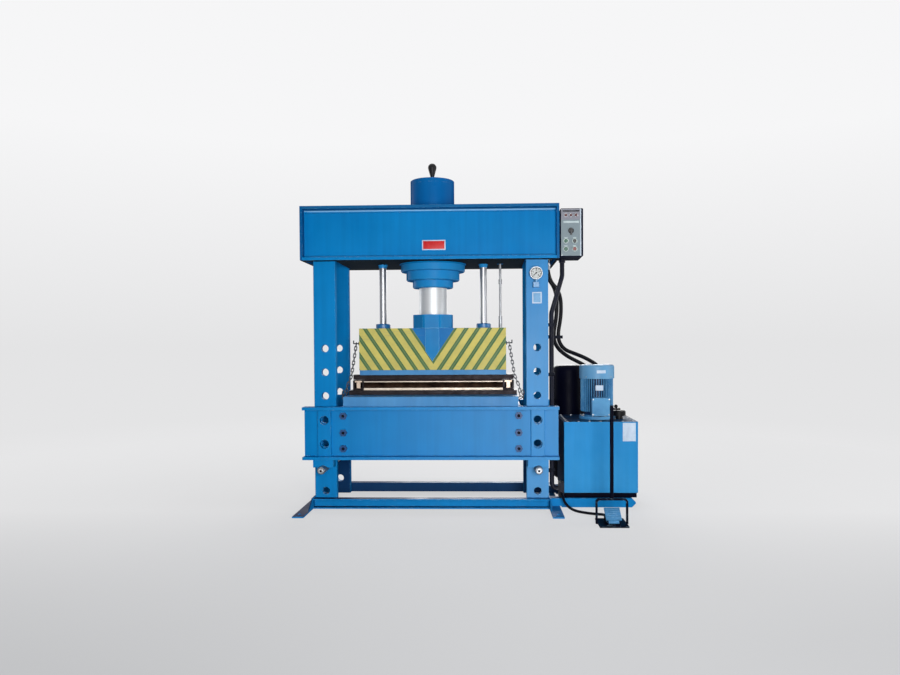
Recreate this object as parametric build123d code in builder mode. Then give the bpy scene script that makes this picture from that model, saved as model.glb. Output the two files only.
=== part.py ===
from build123d import *
from math import asin, atan2, cos, hypot, pi, radians, sin, tan
import os

os.makedirs("parts", exist_ok=True)

quarter_turn = 90

# Uprights: four flat bars with a ladder of pin holes
upright_w = 152
upright_t = 50
upright_x = 731
upright_face_y = 265
upright_top = 2030
upright_edge = 4
pin_hole_r = 26
pin_pitch = 164
pin_first_z = 113
pin_rows = 7
upright_in_y = upright_face_y - upright_t
upright_out_x = upright_x + upright_w / 2

# Head: two channels back to back over the uprights, closed by end plates
head_half = 877
head_bottom = 1696
head_h = 367
head_web_t = 18
head_flange_w = 80
head_flange_t = 20
head_end_t = 18
head_floor_t = 60
head_roof_t = 40
core_gap = 7
roof_half = 420
rib_x = 240
rib_t = 30
head_top = head_bottom + head_h
head_front_y = upright_face_y + head_flange_w
head_in_half = head_half - head_end_t
core_half = upright_x - upright_w / 2 - core_gap

# Base: two low channels between two angle iron feet
rail_h = 67
rail_flange_w = 60
rail_t = 9
foot_w = 75
foot_t = 9
foot_reach = 593
foot_leg_reach = 335
foot_slope = 100
anchor_r = 11
anchor_y = 520
foot_in_x = upright_out_x
foot_out_x = foot_in_x + foot_w
anchor_x = foot_in_x + foot_w / 2 + foot_t / 2

# Cylinder
barrel_r = 157
bore_r = 130
barrel_gap = 0.5
barrel_top = 2262
cap_t = 28
cap_edge = 4
ring_r = 230
ring_bottom = 1640
ring_edge = 5
shoulder_r = 191
shoulder_bottom = 1576
shoulder_edge = 6
gland_r = 145
gland_bottom = 1524
gland_edge = 6
gland_skirt = 56
gland_gap = 0.5
slide_fit = 0.05
piston_fit = 0.08
cap_top = barrel_top + cap_t
bulb_neck_r = 9
bulb_neck_h = 18
bulb_r = 30.5
bulb_h = 113

# Ram: rod, octagonal nose, beam, clamp plate and punch
rod_r = 100
rod_bottom = 1333
piston_bottom = 1652
piston_h = 90
nose_af = 280
nose_edge = 10
beam_half = 522
beam_y = 100
beam_bottom = 940
beam_top = 1237
beam_wall = 30
tongue_half = 49
tongue_t = 10
tongue_tip_z = 1002
tongue_slope = 56
clamp_h = 35
clamp_y = 85
punch_half = 577
punch_y = 38
punch_gap = 1.5
punch_nose_depth = 24
punch_nose_half = 15
punch_tip_half = 4
piston_top = piston_bottom + piston_h
clamp_bottom = beam_bottom - clamp_h

# Guide rods and limit rod
guide_x = 363
guide_r = 25
guide_top = 1820
guide_flange_r = 52
guide_flange_h = 33
guide_flange_edge = 4
bush_r = 29.5
bush_proud = 24
bush_flange_r = 33
bush_flange_t = 10
bush_gap = 0.4
trip_inset = 38
trip_r = 8.5
trip_base_r = 13
trip_base_h = 85
trip_top = 1790
trip_collar_r = 13
trip_collar_z = 1552
trip_collar_h = 34
trip_hole_r = 24
trip_x = beam_half - trip_inset

# Lifting chains on hooks at the beam ends
link_wire = 6.4
link_pitch = 26.4
link_w = 22.4
link_corner_share = 0.32
link_edge_share = 0.28
link_slack = 0.4
link_seat_gap = 0.64
hook_r = 3.8
hook_y = 85
hook_z = 1130
hook_reach = 42
hook_tip_h = 22
hook_pad_r = 13
hook_pad_t = 6
link_seat = 24
chain_bend_out = 58
chain_bend_z = 905
chain_drop_out = 95
chain_drop_z = 812
chain_low_z = 736
chain_loop_w = 29
chain_end_out = 115
chain_end_z = 806
chain_turn_r = 14.1
chain_back_r = 12.6
chain_bend_x = beam_half + chain_bend_out
chain_drop_x = beam_half + chain_drop_out
chain_end_x = beam_half + chain_end_out

# Table: two channels on pins, tied by plates, under a bed plate
table_bottom = 339
table_top = 698
table_half = 872
table_web_t = 18
table_flange_w = 90
table_flange_t = 20
doubler_w = 90
doubler_t = 22
doubler_hole_r = 31
tie_x = 602
tie_t = 30
bolt_af = 46
bolt_head_h = 20
bed_half = 600
bed_y = 300
bed_t = 67
bed_edge = 4
pin_slack = 1
pin_seat_gap = 0.1
pin_half = 415
pin_edge = 4
pin_row = 1
table_pin_rows = (2, 3)
tie_bolt_zs = (408, 517, 633)
saddle_w = 140
saddle_drop = 14
saddle_notch_r = 34
saddle_y0 = 272
saddle_y1 = 345
pin_r = pin_hole_r - pin_slack
pin_z = pin_first_z + pin_row * pin_pitch - pin_slack + pin_seat_gap
pin_top = pin_z + pin_r
bed_top = table_top + bed_t

# Bending tools
die_base_half = 597
die_base_y = 105
die_base_t = 30
die_half = 498
die_y = 60
die_h = 73
die_top_vee = 56
die_side_vee = 42
die_low_vee = 30
die_vee_half_angle = 45
bracket_l = 80
bracket_y = 50
bracket_h = 70
bracket_t = 14
lug_head_h = 12
lug_stem_w = 26
lug_h = 60
lug_t = 16
lug_lift = 6
die_base_top = bed_top + die_base_t
die_top = die_base_top + die_h

# Control box on the right end of the head
box_gap = 6
box_w = 152
box_z0 = 1705
box_h = 321
box_depth = 250
box_edge = 5
box_lid_t = 6
box_lid_margin = 4
box_lid_side = 14
box_bracket_z = 60
box_bracket_y0 = 300
box_bracket_y1 = 130
button_in = 36
button_pitch = 58
button_z0 = 1754
button_z1 = 1807
button_r = 12
button_proud = 14
button_sink = 9
button_travel = 6
button_edge = 2
collar_r = 17
collar_proud = 6
collar_fit = 0.4
lamp_z = 1980
lamp_r = 10
lamp_proud = 10
lamp_edge = 4
lamp_pitch = 34
selector_z = 1877
selector_r = 14
selector_t = 10
selector_grip_l = 46
selector_grip_w = 11
selector_grip_t = 12
selector_shaft_r = 6
selector_fit = 0.4
box_x0 = head_half + box_gap
box_x1 = box_x0 + box_w
button_x0 = box_x0 + button_in
button_x1 = button_x0 + button_pitch
lamp_x0 = button_x0
lamp_x1 = lamp_x0 + lamp_pitch
lamp_x2 = lamp_x1 + lamp_pitch
selector_x = lamp_x1
box_z1 = box_z0 + box_h
box_front_y = -head_front_y
box_back_y = box_front_y + box_depth
panel_y = box_front_y - box_lid_t

# Pressure gauge on the right front upright
gauge_x = 723
gauge_z = 1600
gauge_r = 43
gauge_depth = 34
gauge_stand = 26
gauge_wall = 4
gauge_dial_t = 2
gauge_dial_gap = 0.3
gauge_sink = 12
gauge_stem_r = 11
gauge_stem_len = 52
gauge_block_w = 38
gauge_block_h = 34
pointer_l = 28
pointer_tail = 10
pointer_w = 3.2
pointer_t = 1.5
pointer_hub_r = 5
pointer_hub_t = 3
pointer_shaft_r = 1.5
pointer_shaft_fit = 0.3
pointer_angle = 40

# Oil tank on its skid
tank_x0 = 912
tank_x1 = 1415
tank_y0 = -265
tank_y1 = 235
tank_z0 = 100
tank_top = 586
tank_wall = 5
tank_lid_t = 10
tank_edge = 3
skid_x0 = 895
skid_x1 = 1399
skid_h = 62
skid_w = 60
skid_bevel = 26
skid_tongue_gap = 1
bearer_x0 = 975
bearer_x1 = 1335
bearer_w = 60
bearer_inset = 70

# Motor standing on the tank
motor_x = 1171
motor_y = -15
motor_r = 90
motor_flange_r = 125
motor_flange_h = 22
motor_top = 885
fin_reach = 23
fin_t = 4
fin_count = 40
fin_bottom = 640
shaft_r = 14
shaft_fit = 0.5
cowl_r = 123
cowl_bottom = 873
cowl_top = 970
cowl_wall = 3
cowl_gap = 0.5
cowl_edge = 16
cowl_slot_w = 7
cowl_slot_count = 5
cowl_slot_pitch = 24
fan_r = 96
fan_hub_r = 26
fan_bottom = 893
fan_hub_h = 50
fan_blade_h = 38
fan_blade_t = 3
fan_blade_count = 6
fan_disc_t = 4
fan_blade_root = 6
fan_rim_gap = 5
pump_hole_r = 70
junction_w = 126
junction_z0 = 616
junction_h = 127
junction_face_y = -186
junction_lid_t = 10
junction_lid_gap = 3
junction_corner = 12
junction_side = 6

# Filler cap with its vent knob
filler_x = 1322
filler_y = -60
filler_neck_r = 25
filler_neck_h = 24
filler_r = 46
filler_h = 36
filler_edge = 12
filler_knob_x = -22
filler_knob_stem_r = 4
filler_knob_stem_h = 22
filler_knob_r = 13

# Accumulator bottle behind the tank
bottle_side_gap = 14
bottle_r = 121
bottle_top = 956
bottle_bottom = 72
bottle_edge = 42
bottle_gap = 8
bottle_neck_r = 30
bottle_neck_h = 20
band_t = 4
band_gap = 0.3
band_h = 40
band_z0 = 230
band_z1 = 470
bottle_x = table_half + bottle_side_gap + bottle_r
bottle_y = tank_y1 + bottle_gap + bottle_r

# Valve block and hydraulic lines
valve_x0 = 1150
valve_x1 = 1300
valve_y0 = 155
valve_y1 = 226
valve_h = 62
solenoid_w = 46
solenoid_l = 72
solenoid_h = 46
hose_r = 14
fitting_r = 20
fitting_h = 36
valve_top = tank_top + valve_h
hose_low_z = valve_top + fitting_h
port_plate_t = 14
port_plate_y0 = -70
port_plate_y1 = 90
port_plate_z = 1724
hose_high_z = port_plate_z - fitting_h
cord_bend_share = 0.46
hose_a_route = (
    (828, 30, hose_high_z),
    (828, 30, 1590),
    (918, 30, 1492),
    (925, 30, 1330),
    (893, 30, 1166),
    (939, 43, 1080),
    (1032, 66, 1046),
    (1120, 110, 1010),
    (1212, 168, 955),
    (1262, 188, 872),
    (1266, 190, 772),
    (1266, 190, hose_low_z),
)
hose_b_route = (
    (812, -20, hose_high_z),
    (812, -20, 1606),
    (886, -14, 1506),
    (890, -4, 1332),
    (861, 8, 1170),
    (893, 24, 1090),
    (966, 52, 1030),
    (1062, 112, 984),
    (1138, 176, 944),
    (1181, 199, 866),
    (1185, 200, 770),
    (1185, 200, hose_low_z),
)

# Cable conduit clipped to the right front upright
conduit_r = 16
conduit_clear = 7
conduit_y = -240
conduit_turn_r = 75
conduit_low_turn_r = 40
conduit_low_z = 124
conduit_box_in = 28
conduit_box_y = -170
conduit_join_z = 1330
conduit_lean_z = 1590
gland_h = 22
gland_body_r = 22
clip_w = 22
clip_t = 4
clip_gap = 0.3
clip_z0 = 1240
clip_z1 = 900
clip_z2 = 240
case_x0 = 876
case_y0 = -262
case_y1 = -192
case_z0 = 68
case_z1 = 168
guide_bar_t = 6
guide_bar_h = 22
guide_bar_z = 1158
guide_bar_y0 = -258
guide_loop_x = 922
guide_loop_y0 = -28
guide_loop_y1 = 58
conduit_x = upright_out_x + conduit_clear + conduit_r
conduit_box_x = box_x0 + conduit_box_in

# Foot pedal with its guard, carrying rod and cable
pedal_x0 = 1072
pedal_x1 = 1250
pedal_y0 = -824
pedal_y1 = -606
pedal_base_t = 8
guard_y = -715
guard_w = 26
guard_t = 11
guard_h = 158
guard_corner = 14
guard_in_corner = 10
carry_r = 11.5
carry_top = 737
housing_w = 78
housing_y0 = -800
housing_y1 = -650
housing_h = 36
housing_step_y = -735
housing_front_h = 14
tread_w = 96
tread_l = 105
tread_t = 9
tread_angle = 30
tread_rib_w = 6
tread_rib_h = 3
tread_rib_count = 5
cheek_t = 6
hinge_r = 5
hinge_fit = 0.3
hinge_y = -786
hinge_z = 26
cable_r = 9
cable_gland_r = 13
cable_gland_l = 16
cable_start_x = 894
cable_start_z = 92
cable_end_x = 1142
cable_end_z = 23
pedal_x = (pedal_x0 + pedal_x1) / 2
cable_start_y = case_y0 - cable_gland_l
cable_end_y = housing_y1 + cable_gland_l
cable_route = (
    (cable_start_x, cable_start_y, cable_start_z),
    (cable_start_x, -322, cable_start_z),
    (907, -372, 46),
    (956, -418, 13),
    (1026, -466, 9.5),
    (1095, -516, 12),
    (cable_end_x, -572, cable_end_z),
    (cable_end_x, cable_end_y, cable_end_z),
)


def block(x0, x1, y0, y1, z0, z1, mode=Mode.ADD):
    with Locations(((x0 + x1) / 2, (y0 + y1) / 2, (z0 + z1) / 2)):
        Box(abs(x1 - x0), abs(y1 - y0), abs(z1 - z0), mode=mode)


def post(x, y, z0, z1, r, mode=Mode.ADD):
    with Locations((x, y, (z0 + z1) / 2)):
        Cylinder(r, abs(z1 - z0), mode=mode)


def bar_y(x, z, y0, y1, r, mode=Mode.ADD):
    with Locations((x, (y0 + y1) / 2, z)):
        Cylinder(r, abs(y1 - y0), rotation=(quarter_turn, 0, 0), mode=mode)


def bar_x(y, z, x0, x1, r, mode=Mode.ADD):
    with Locations(((x0 + x1) / 2, y, z)):
        Cylinder(r, abs(x1 - x0), rotation=(0, quarter_turn, 0), mode=mode)


def save(shape, label):
    shape.label = label
    export_step(shape, "parts/" + label + ".step")


# Uprights
def upright_pair(row):
    y0 = row * upright_in_y
    y1 = row * upright_face_y
    with BuildPart() as pair:
        for side in (-1, 1):
            block(side * upright_x - upright_w / 2, side * upright_x + upright_w / 2, y0, y1, 0, upright_top)
        chamfer(pair.edges().filter_by(Axis.Z), upright_edge)
        for side in (-1, 1):
            for step in range(pin_rows):
                bar_y(side * upright_x, pin_first_z + step * pin_pitch, y0, y1, pin_hole_r, Mode.SUBTRACT)
    return pair.part


save(upright_pair(-1), "uprights_front")
save(upright_pair(1), "uprights_rear")


# Channels with flanges turned outward
def channel(row, half, y_in, z0, z1, web_t, flange_w, flange_t):
    y_web = row * (y_in + web_t)
    y_tip = row * (y_in + flange_w)
    with BuildPart() as bar:
        block(-half, half, row * y_in, y_web, z0, z1)
        block(-half, half, row * y_in, y_tip, z0, z0 + flange_t)
        block(-half, half, row * y_in, y_tip, z1 - flange_t, z1)
    return bar.part


# Head
head_sizes = (head_in_half, upright_face_y, head_bottom, head_top, head_web_t, head_flange_w, head_flange_t)
save(channel(-1, *head_sizes), "head_front_channel")
save(channel(1, *head_sizes), "head_rear_channel")

with BuildPart() as head_ends:
    for side in (-1, 1):
        block(side * head_in_half, side * head_half, -head_front_y, head_front_y, head_bottom, head_top)
save(head_ends.part, "head_end_plates")

with BuildPart() as head_core:
    block(-core_half, core_half, -upright_face_y, upright_face_y, head_bottom, head_bottom + head_floor_t)
    block(-roof_half, roof_half, -upright_face_y, upright_face_y, head_top - head_roof_t, head_top)
    for side in (-1, 1):
        rib_in = side * (rib_x - rib_t / 2)
        rib_out = side * (rib_x + rib_t / 2)
        rib_low = head_bottom + head_floor_t
        block(rib_in, rib_out, -upright_face_y, upright_face_y, rib_low, head_top - head_roof_t)
    post(0, 0, head_bottom, head_top, barrel_r + barrel_gap, Mode.SUBTRACT)
    for side in (-1, 1):
        post(side * guide_x, 0, head_bottom, head_bottom + head_floor_t, bush_r + bush_gap, Mode.SUBTRACT)
    post(trip_x, 0, head_bottom, head_bottom + head_floor_t, trip_hole_r, Mode.SUBTRACT)
save(head_core.part, "head_core")

# Base
def base_rail(row):
    return channel(row, foot_in_x, upright_face_y, 0, rail_h, rail_t, rail_flange_w, rail_t).solid()


def base_foot(side):
    with BuildPart() as foot:
        block(side * foot_in_x, side * foot_out_x, -foot_reach, foot_reach, 0, foot_t)
        with BuildSketch(Plane.YZ.offset(side * foot_in_x)):
            Polygon(
                (-foot_leg_reach - foot_slope, foot_t),
                (foot_leg_reach + foot_slope, foot_t),
                (foot_leg_reach, foot_w),
                (-foot_leg_reach, foot_w),
                align=None,
            )
        extrude(amount=side * foot_t)
        for row in (-1, 1):
            post(side * anchor_x, row * anchor_y, 0, foot_t, anchor_r, Mode.SUBTRACT)
    return foot.part.solid()


save(Compound([base_rail(-1), base_rail(1), base_foot(-1), base_foot(1)]), "base_frame")

# Cylinder
with BuildPart() as cylinder_barrel:
    post(0, 0, shoulder_bottom, barrel_top, barrel_r)
    post(0, 0, ring_bottom, head_bottom, ring_r)
    post(0, 0, shoulder_bottom, ring_bottom, shoulder_r)
    ring_edges = cylinder_barrel.edges().filter_by(GeomType.CIRCLE)
    chamfer(ring_edges.filter_by(lambda e: abs(e.radius - ring_r) < slide_fit), ring_edge)
    low_edge = cylinder_barrel.edges().filter_by(GeomType.CIRCLE).sort_by(Axis.Z)[0]
    chamfer(low_edge, shoulder_edge)
    post(0, 0, shoulder_bottom, barrel_top, bore_r, Mode.SUBTRACT)
save(cylinder_barrel.part, "cylinder_barrel")

with BuildPart() as cylinder_cap:
    post(0, 0, barrel_top, cap_top, barrel_r)
    chamfer(cylinder_cap.edges().filter_by(GeomType.CIRCLE).sort_by(Axis.Z)[-1], cap_edge)
save(cylinder_cap.part, "cylinder_cap")

with BuildPart() as gland_nut:
    post(0, 0, gland_bottom, shoulder_bottom, gland_r)
    chamfer(gland_nut.edges().filter_by(GeomType.CIRCLE).sort_by(Axis.Z)[0], gland_edge)
    post(0, 0, shoulder_bottom, shoulder_bottom + gland_skirt, bore_r - gland_gap)
    post(0, 0, gland_bottom, shoulder_bottom + gland_skirt, rod_r + slide_fit, Mode.SUBTRACT)
save(gland_nut.part, "gland_nut")

with BuildPart() as air_breather:
    with BuildSketch(Plane.XZ):
        with BuildLine():
            bulb_low = cap_top + bulb_neck_h
            bulb_top = bulb_low + bulb_h
            bulb_mid = bulb_top - bulb_r
            bulb_drop = bulb_mid - bulb_low
            bulb_turn = asin(bulb_r / hypot(bulb_neck_r, bulb_drop)) - atan2(bulb_neck_r, bulb_drop)
            bulb_side = (bulb_r * cos(bulb_turn), bulb_mid - bulb_r * sin(bulb_turn))
            Polyline((0, bulb_top), (0, cap_top), (bulb_neck_r, cap_top), (bulb_neck_r, bulb_low), bulb_side)
            ThreePointArc(bulb_side, (bulb_r * cos(pi / 4), bulb_mid + bulb_r * sin(pi / 4)), (0, bulb_top))
        make_face()
    revolve(axis=Axis.Z)
save(air_breather.part, "air_breather")

# Ram
with BuildPart() as piston_rod:
    post(0, 0, rod_bottom, piston_bottom, rod_r)
    post(0, 0, piston_bottom, piston_top, bore_r - piston_fit)
save(piston_rod.part, "piston_rod")

with BuildPart() as ram_nose:
    with BuildSketch(Plane.XY.offset(beam_top)) as nose_plan:
        RegularPolygon(nose_af / 2, 8, major_radius=False, rotation=quarter_turn / 4)
        chamfer(nose_plan.vertices(), nose_edge)
    extrude(amount=rod_bottom - beam_top)
    with BuildSketch(Plane.XZ.offset(beam_y)) as tongue_face:
        tongue_low = tongue_tip_z + tongue_half * tan(radians(tongue_slope))
        Polygon(
            (-tongue_half, beam_top + nose_edge),
            (-tongue_half, tongue_low),
            (0, tongue_tip_z),
            (tongue_half, tongue_low),
            (tongue_half, beam_top + nose_edge),
            align=None,
        )
    extrude(amount=tongue_t)
save(ram_nose.part, "ram_nose")

with BuildPart() as upper_beam:
    block(-beam_half, beam_half, -beam_y, beam_y, beam_bottom, beam_top)
    block(
        -beam_half,
        beam_half,
        -beam_y + beam_wall,
        beam_y - beam_wall,
        beam_bottom + beam_wall,
        beam_top - beam_wall,
        Mode.SUBTRACT,
    )
save(upper_beam.part, "upper_beam")

with BuildPart() as clamp_plate:
    block(-beam_half, beam_half, -clamp_y, clamp_y, clamp_bottom, beam_bottom)
save(clamp_plate.part, "clamp_plate")

with BuildPart() as punch:
    with BuildSketch(Plane.YZ.offset(-punch_half)):
        punch_low = die_top + punch_gap
        Polygon(
            (-punch_y, clamp_bottom),
            (-punch_y, punch_low),
            (-punch_nose_half, punch_low),
            (-punch_tip_half, punch_low - punch_nose_depth),
            (punch_tip_half, punch_low - punch_nose_depth),
            (punch_nose_half, punch_low),
            (punch_y, punch_low),
            (punch_y, clamp_bottom),
            align=None,
        )
    extrude(amount=2 * punch_half)
    for side in (-1, 1):
        nose_low = punch_low - punch_nose_depth
        block(side * die_half, side * punch_half, -punch_y, punch_y, nose_low, punch_low, Mode.SUBTRACT)
save(punch.part, "punch")

with BuildPart() as guide_rods:
    for side in (-1, 1):
        post(side * guide_x, 0, beam_top, beam_top + guide_flange_h, guide_flange_r)
    top_edges = guide_rods.edges().filter_by(GeomType.CIRCLE).group_by(Axis.Z)[-1]
    chamfer(top_edges, guide_flange_edge)
    for side in (-1, 1):
        post(side * guide_x, 0, beam_top, guide_top, guide_r)
save(guide_rods.part, "guide_rods")

with BuildPart() as guide_bushes:
    for side in (-1, 1):
        post(side * guide_x, 0, head_bottom - bush_proud, head_bottom + head_floor_t, bush_r)
        post(side * guide_x, 0, head_bottom - bush_flange_t, head_bottom, bush_flange_r)
        post(
            side * guide_x,
            0,
            head_bottom - bush_proud,
            head_bottom + head_floor_t,
            guide_r + slide_fit,
            Mode.SUBTRACT,
        )
save(guide_bushes.part, "guide_bushes")

with BuildPart() as limit_rod:
    post(trip_x, 0, beam_top, trip_top, trip_r)
    post(trip_x, 0, beam_top, beam_top + trip_base_h, trip_base_r)
    post(trip_x, 0, trip_collar_z, trip_collar_z + trip_collar_h, trip_collar_r)
save(limit_rod.part, "limit_rod")


# Chains: links follow a slack route from hook to die end and back up
def link_outline(w, l):
    corner = w * link_corner_share
    return (
        (w / 2 - corner, l / 2),
        (w / 2, l / 2 - corner),
        (w / 2, corner - l / 2),
        (w / 2 - corner, -l / 2),
        (corner - w / 2, -l / 2),
        (-w / 2, corner - l / 2),
        (-w / 2, l / 2 - corner),
        (corner - w / 2, l / 2),
    )


with BuildPart() as chain_link:
    with BuildSketch(Plane.XZ):
        Polygon(*link_outline(link_w, link_pitch + 2 * link_wire), align=None)
        Polygon(*link_outline(link_w - 2 * link_wire, link_pitch), align=None, mode=Mode.SUBTRACT)
    extrude(amount=link_wire / 2, both=True)
    flat_faces = chain_link.faces().sort_by(Axis.Y)
    chamfer(flat_faces[0].edges() + flat_faces[-1].edges(), link_wire * link_edge_share)


def chain_route(side):
    seat_z = hook_z + hook_r + link_seat_gap - link_pitch / 2
    points = (
        (side * (beam_half + link_seat), -hook_y, seat_z),
        (side * chain_bend_x, -hook_y, chain_bend_z),
        (side * chain_drop_x, -hook_y, chain_drop_z),
        (side * chain_drop_x, -hook_y, chain_low_z),
        (side * (chain_drop_x + chain_loop_w), -hook_y, chain_low_z),
        (side * chain_end_x, -hook_y, chain_end_z),
    )
    with BuildLine() as run:
        FilletPolyline(*points, radius=(link_pitch, link_pitch, chain_turn_r, chain_back_r))
    return run.wires()[0]


def chain_links(side):
    run = chain_route(side)
    steps = int(2 * run.length / link_slack)
    spots = [run @ (k / steps) for k in range(steps)]
    joints = [spots[0]]
    for spot in spots:
        if (spot - joints[-1]).length >= link_pitch - link_slack:
            joints.append(spot)
    links = []
    for k in range(len(joints) - 1):
        along = joints[k + 1] - joints[k]
        across = Vector(0, 1, 0) if k % 2 == 0 else along.cross(Vector(0, 1, 0))
        seat = Plane(origin=joints[k], x_dir=across, z_dir=along)
        links.append(seat.location * chain_link.part.solid())
    return links


def beam_hook(side):
    tip_x = side * (beam_half + hook_reach)
    with BuildPart() as hook:
        bar_x(-hook_y, hook_z, side * beam_half, tip_x, hook_r)
        bar_x(-hook_y, hook_z, side * beam_half, side * (beam_half + hook_pad_t), hook_pad_r)
        post(tip_x, -hook_y, hook_z, hook_z + hook_tip_h, hook_r)
        with Locations((tip_x, -hook_y, hook_z)):
            Sphere(hook_r)
    return hook.part.solid()


save(Compound([beam_hook(-1), beam_hook(1)]), "chain_hooks")
save(Compound(chain_links(-1) + chain_links(1)), "lift_chains")


# Table
def table_channel(row):
    y_web = upright_face_y + table_web_t
    y_pad = y_web + doubler_t
    sizes = (upright_face_y, table_bottom, table_top, table_web_t, table_flange_w, table_flange_t)
    with BuildPart() as bar:
        add(channel(row, table_half, *sizes))
        for side in (-1, 1):
            block(
                side * upright_x - doubler_w / 2,
                side * upright_x + doubler_w / 2,
                row * y_web,
                row * y_pad,
                table_bottom + table_flange_t,
                table_top - table_flange_t,
            )
            for step in table_pin_rows:
                hole_z = pin_first_z + step * pin_pitch
                y_in = row * upright_face_y
                bar_y(side * upright_x, hole_z, y_in, row * y_pad, doubler_hole_r, Mode.SUBTRACT)
            block(
                side * upright_x - saddle_w / 2,
                side * upright_x + saddle_w / 2,
                row * saddle_y0,
                row * saddle_y1,
                pin_top - saddle_drop,
                table_bottom,
            )
            notch_z = pin_top + pin_seat_gap - saddle_notch_r
            bar_y(side * upright_x, notch_z, row * saddle_y0, row * saddle_y1, saddle_notch_r, Mode.SUBTRACT)
    return bar.part


save(table_channel(-1), "table_front_channel")
save(table_channel(1), "table_rear_channel")

with BuildPart() as table_ties:
    for side in (-1, 1):
        block(
            side * tie_x - tie_t / 2,
            side * tie_x + tie_t / 2,
            -upright_face_y,
            upright_face_y,
            table_bottom,
            table_top,
        )
save(table_ties.part, "table_ties")

with BuildPart() as table_bolts:
    for row in (-1, 1):
        bolt_y = upright_face_y + table_web_t
        with BuildSketch(Plane.XZ.offset(-row * bolt_y)):
            with Locations(*[(side * tie_x, bolt_z) for side in (-1, 1) for bolt_z in tie_bolt_zs]):
                RegularPolygon(bolt_af / 2, 6, major_radius=False)
        extrude(amount=-row * bolt_head_h)
save(table_bolts.part, "table_bolts")

with BuildPart() as bed_plate:
    block(-bed_half, bed_half, -bed_y, bed_y, table_top, bed_top)
    chamfer(bed_plate.faces().sort_by(Axis.Z)[-1].edges(), bed_edge)
save(bed_plate.part, "bed_plate")

with BuildPart() as table_pins:
    for side in (-1, 1):
        bar_y(side * upright_x, pin_z, -pin_half, pin_half, pin_r)
    chamfer(table_pins.edges().filter_by(GeomType.CIRCLE), pin_edge)
save(table_pins.part, "table_pins")

# Bending tools
with BuildPart() as die_base:
    block(-die_base_half, die_base_half, -die_base_y, die_base_y, bed_top, die_base_top)
save(die_base.part, "die_base")

with BuildPart() as die_block:
    with BuildSketch(Plane.YZ.offset(-die_half)):
        vee_slope = tan(radians(die_vee_half_angle))
        mid_z = die_base_top + die_h / 2
        Polygon(
            (-die_y, die_base_top),
            (-die_low_vee / 2, die_base_top),
            (0, die_base_top + die_low_vee / 2 / vee_slope),
            (die_low_vee / 2, die_base_top),
            (die_y, die_base_top),
            (die_y, mid_z - die_low_vee / 2),
            (die_y - die_low_vee / 2 / vee_slope, mid_z),
            (die_y, mid_z + die_low_vee / 2),
            (die_y, die_top),
            (die_top_vee / 2, die_top),
            (0, die_top - die_top_vee / 2 / vee_slope),
            (-die_top_vee / 2, die_top),
            (-die_y, die_top),
            (-die_y, mid_z + die_side_vee / 2),
            (-die_y + die_side_vee / 2 / vee_slope, mid_z),
            (-die_y, mid_z - die_side_vee / 2),
            align=None,
        )
    extrude(amount=2 * die_half)
save(die_block.part, "die_block")

with BuildPart() as die_brackets:
    for side in (-1, 1):
        near_x = side * die_half
        far_x = side * (die_half + bracket_l)
        bracket_top = die_base_top + bracket_h
        block(near_x, far_x, -bracket_y, bracket_y, die_base_top, die_base_top + bracket_t)
        block(near_x, near_x + side * bracket_t, -bracket_y, bracket_y, die_base_top, bracket_top)
        block(far_x, far_x - side * bracket_t, -bracket_y, bracket_y, die_base_top, bracket_top)
        block(near_x, far_x, bracket_y - bracket_t, bracket_y, die_base_top, bracket_top)
save(die_brackets.part, "die_brackets")

with BuildPart() as die_lugs:
    for side in (-1, 1):
        lug_x = side * (die_half + bracket_l / 2)
        lug_z = die_base_top + bracket_t
        lug_top = lug_z + lug_h - lug_lift
        lug_back = lug_t - bracket_y
        block(lug_x - lug_stem_w / 2, lug_x + lug_stem_w / 2, -bracket_y, lug_back, lug_z, lug_top)
        bar_in = side * (die_half + bracket_t)
        bar_out = side * (die_half + bracket_l - bracket_t)
        block(bar_in, bar_out, -bracket_y, lug_back, lug_top - lug_head_h, lug_top)
save(die_lugs.part, "die_lugs")

# Control box
with BuildPart() as control_box:
    block(box_x0, box_x1, box_front_y, box_back_y, box_z0, box_z1)
    chamfer(control_box.edges().filter_by(Axis.Y), box_edge)
    block(
        box_x0 + box_lid_margin,
        box_x1 - box_lid_side,
        panel_y,
        box_front_y,
        box_z0 + box_lid_margin,
        box_z1 - box_lid_margin,
    )
    block(
        head_half,
        box_x0,
        -box_bracket_y0,
        -box_bracket_y1,
        box_z0 + box_bracket_z,
        box_z1 - box_bracket_z,
    )
    button_well = panel_y + button_sink + button_travel
    for x in (button_x0, button_x1):
        for z in (button_z0, button_z1):
            bar_y(x, z, panel_y - collar_proud, panel_y, collar_r)
            bar_y(x, z, panel_y - collar_proud, button_well, button_r + collar_fit, Mode.SUBTRACT)
    selector_end = panel_y + selector_t
    bar_y(selector_x, selector_z, panel_y, selector_end, selector_shaft_r + selector_fit, Mode.SUBTRACT)
save(control_box.part, "control_box")

with BuildPart() as panel_lamps:
    for x in (lamp_x0, lamp_x1, lamp_x2):
        bar_y(x, lamp_z, panel_y - lamp_proud, panel_y, lamp_r)
    chamfer(panel_lamps.edges().filter_by(GeomType.CIRCLE).group_by(Axis.Y)[0], lamp_edge)
save(panel_lamps.part, "panel_lamps")


def push_button(x, z):
    with BuildPart() as button:
        bar_y(x, z, panel_y - button_proud, panel_y + button_sink, button_r)
        chamfer(button.edges().filter_by(GeomType.CIRCLE).sort_by(Axis.Y)[0], button_edge)
    return button.part


save(push_button(button_x0, button_z1), "button_up")
save(push_button(button_x1, button_z1), "button_down")
save(push_button(button_x0, button_z0), "button_start")
save(push_button(button_x1, button_z0), "button_stop")

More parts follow.
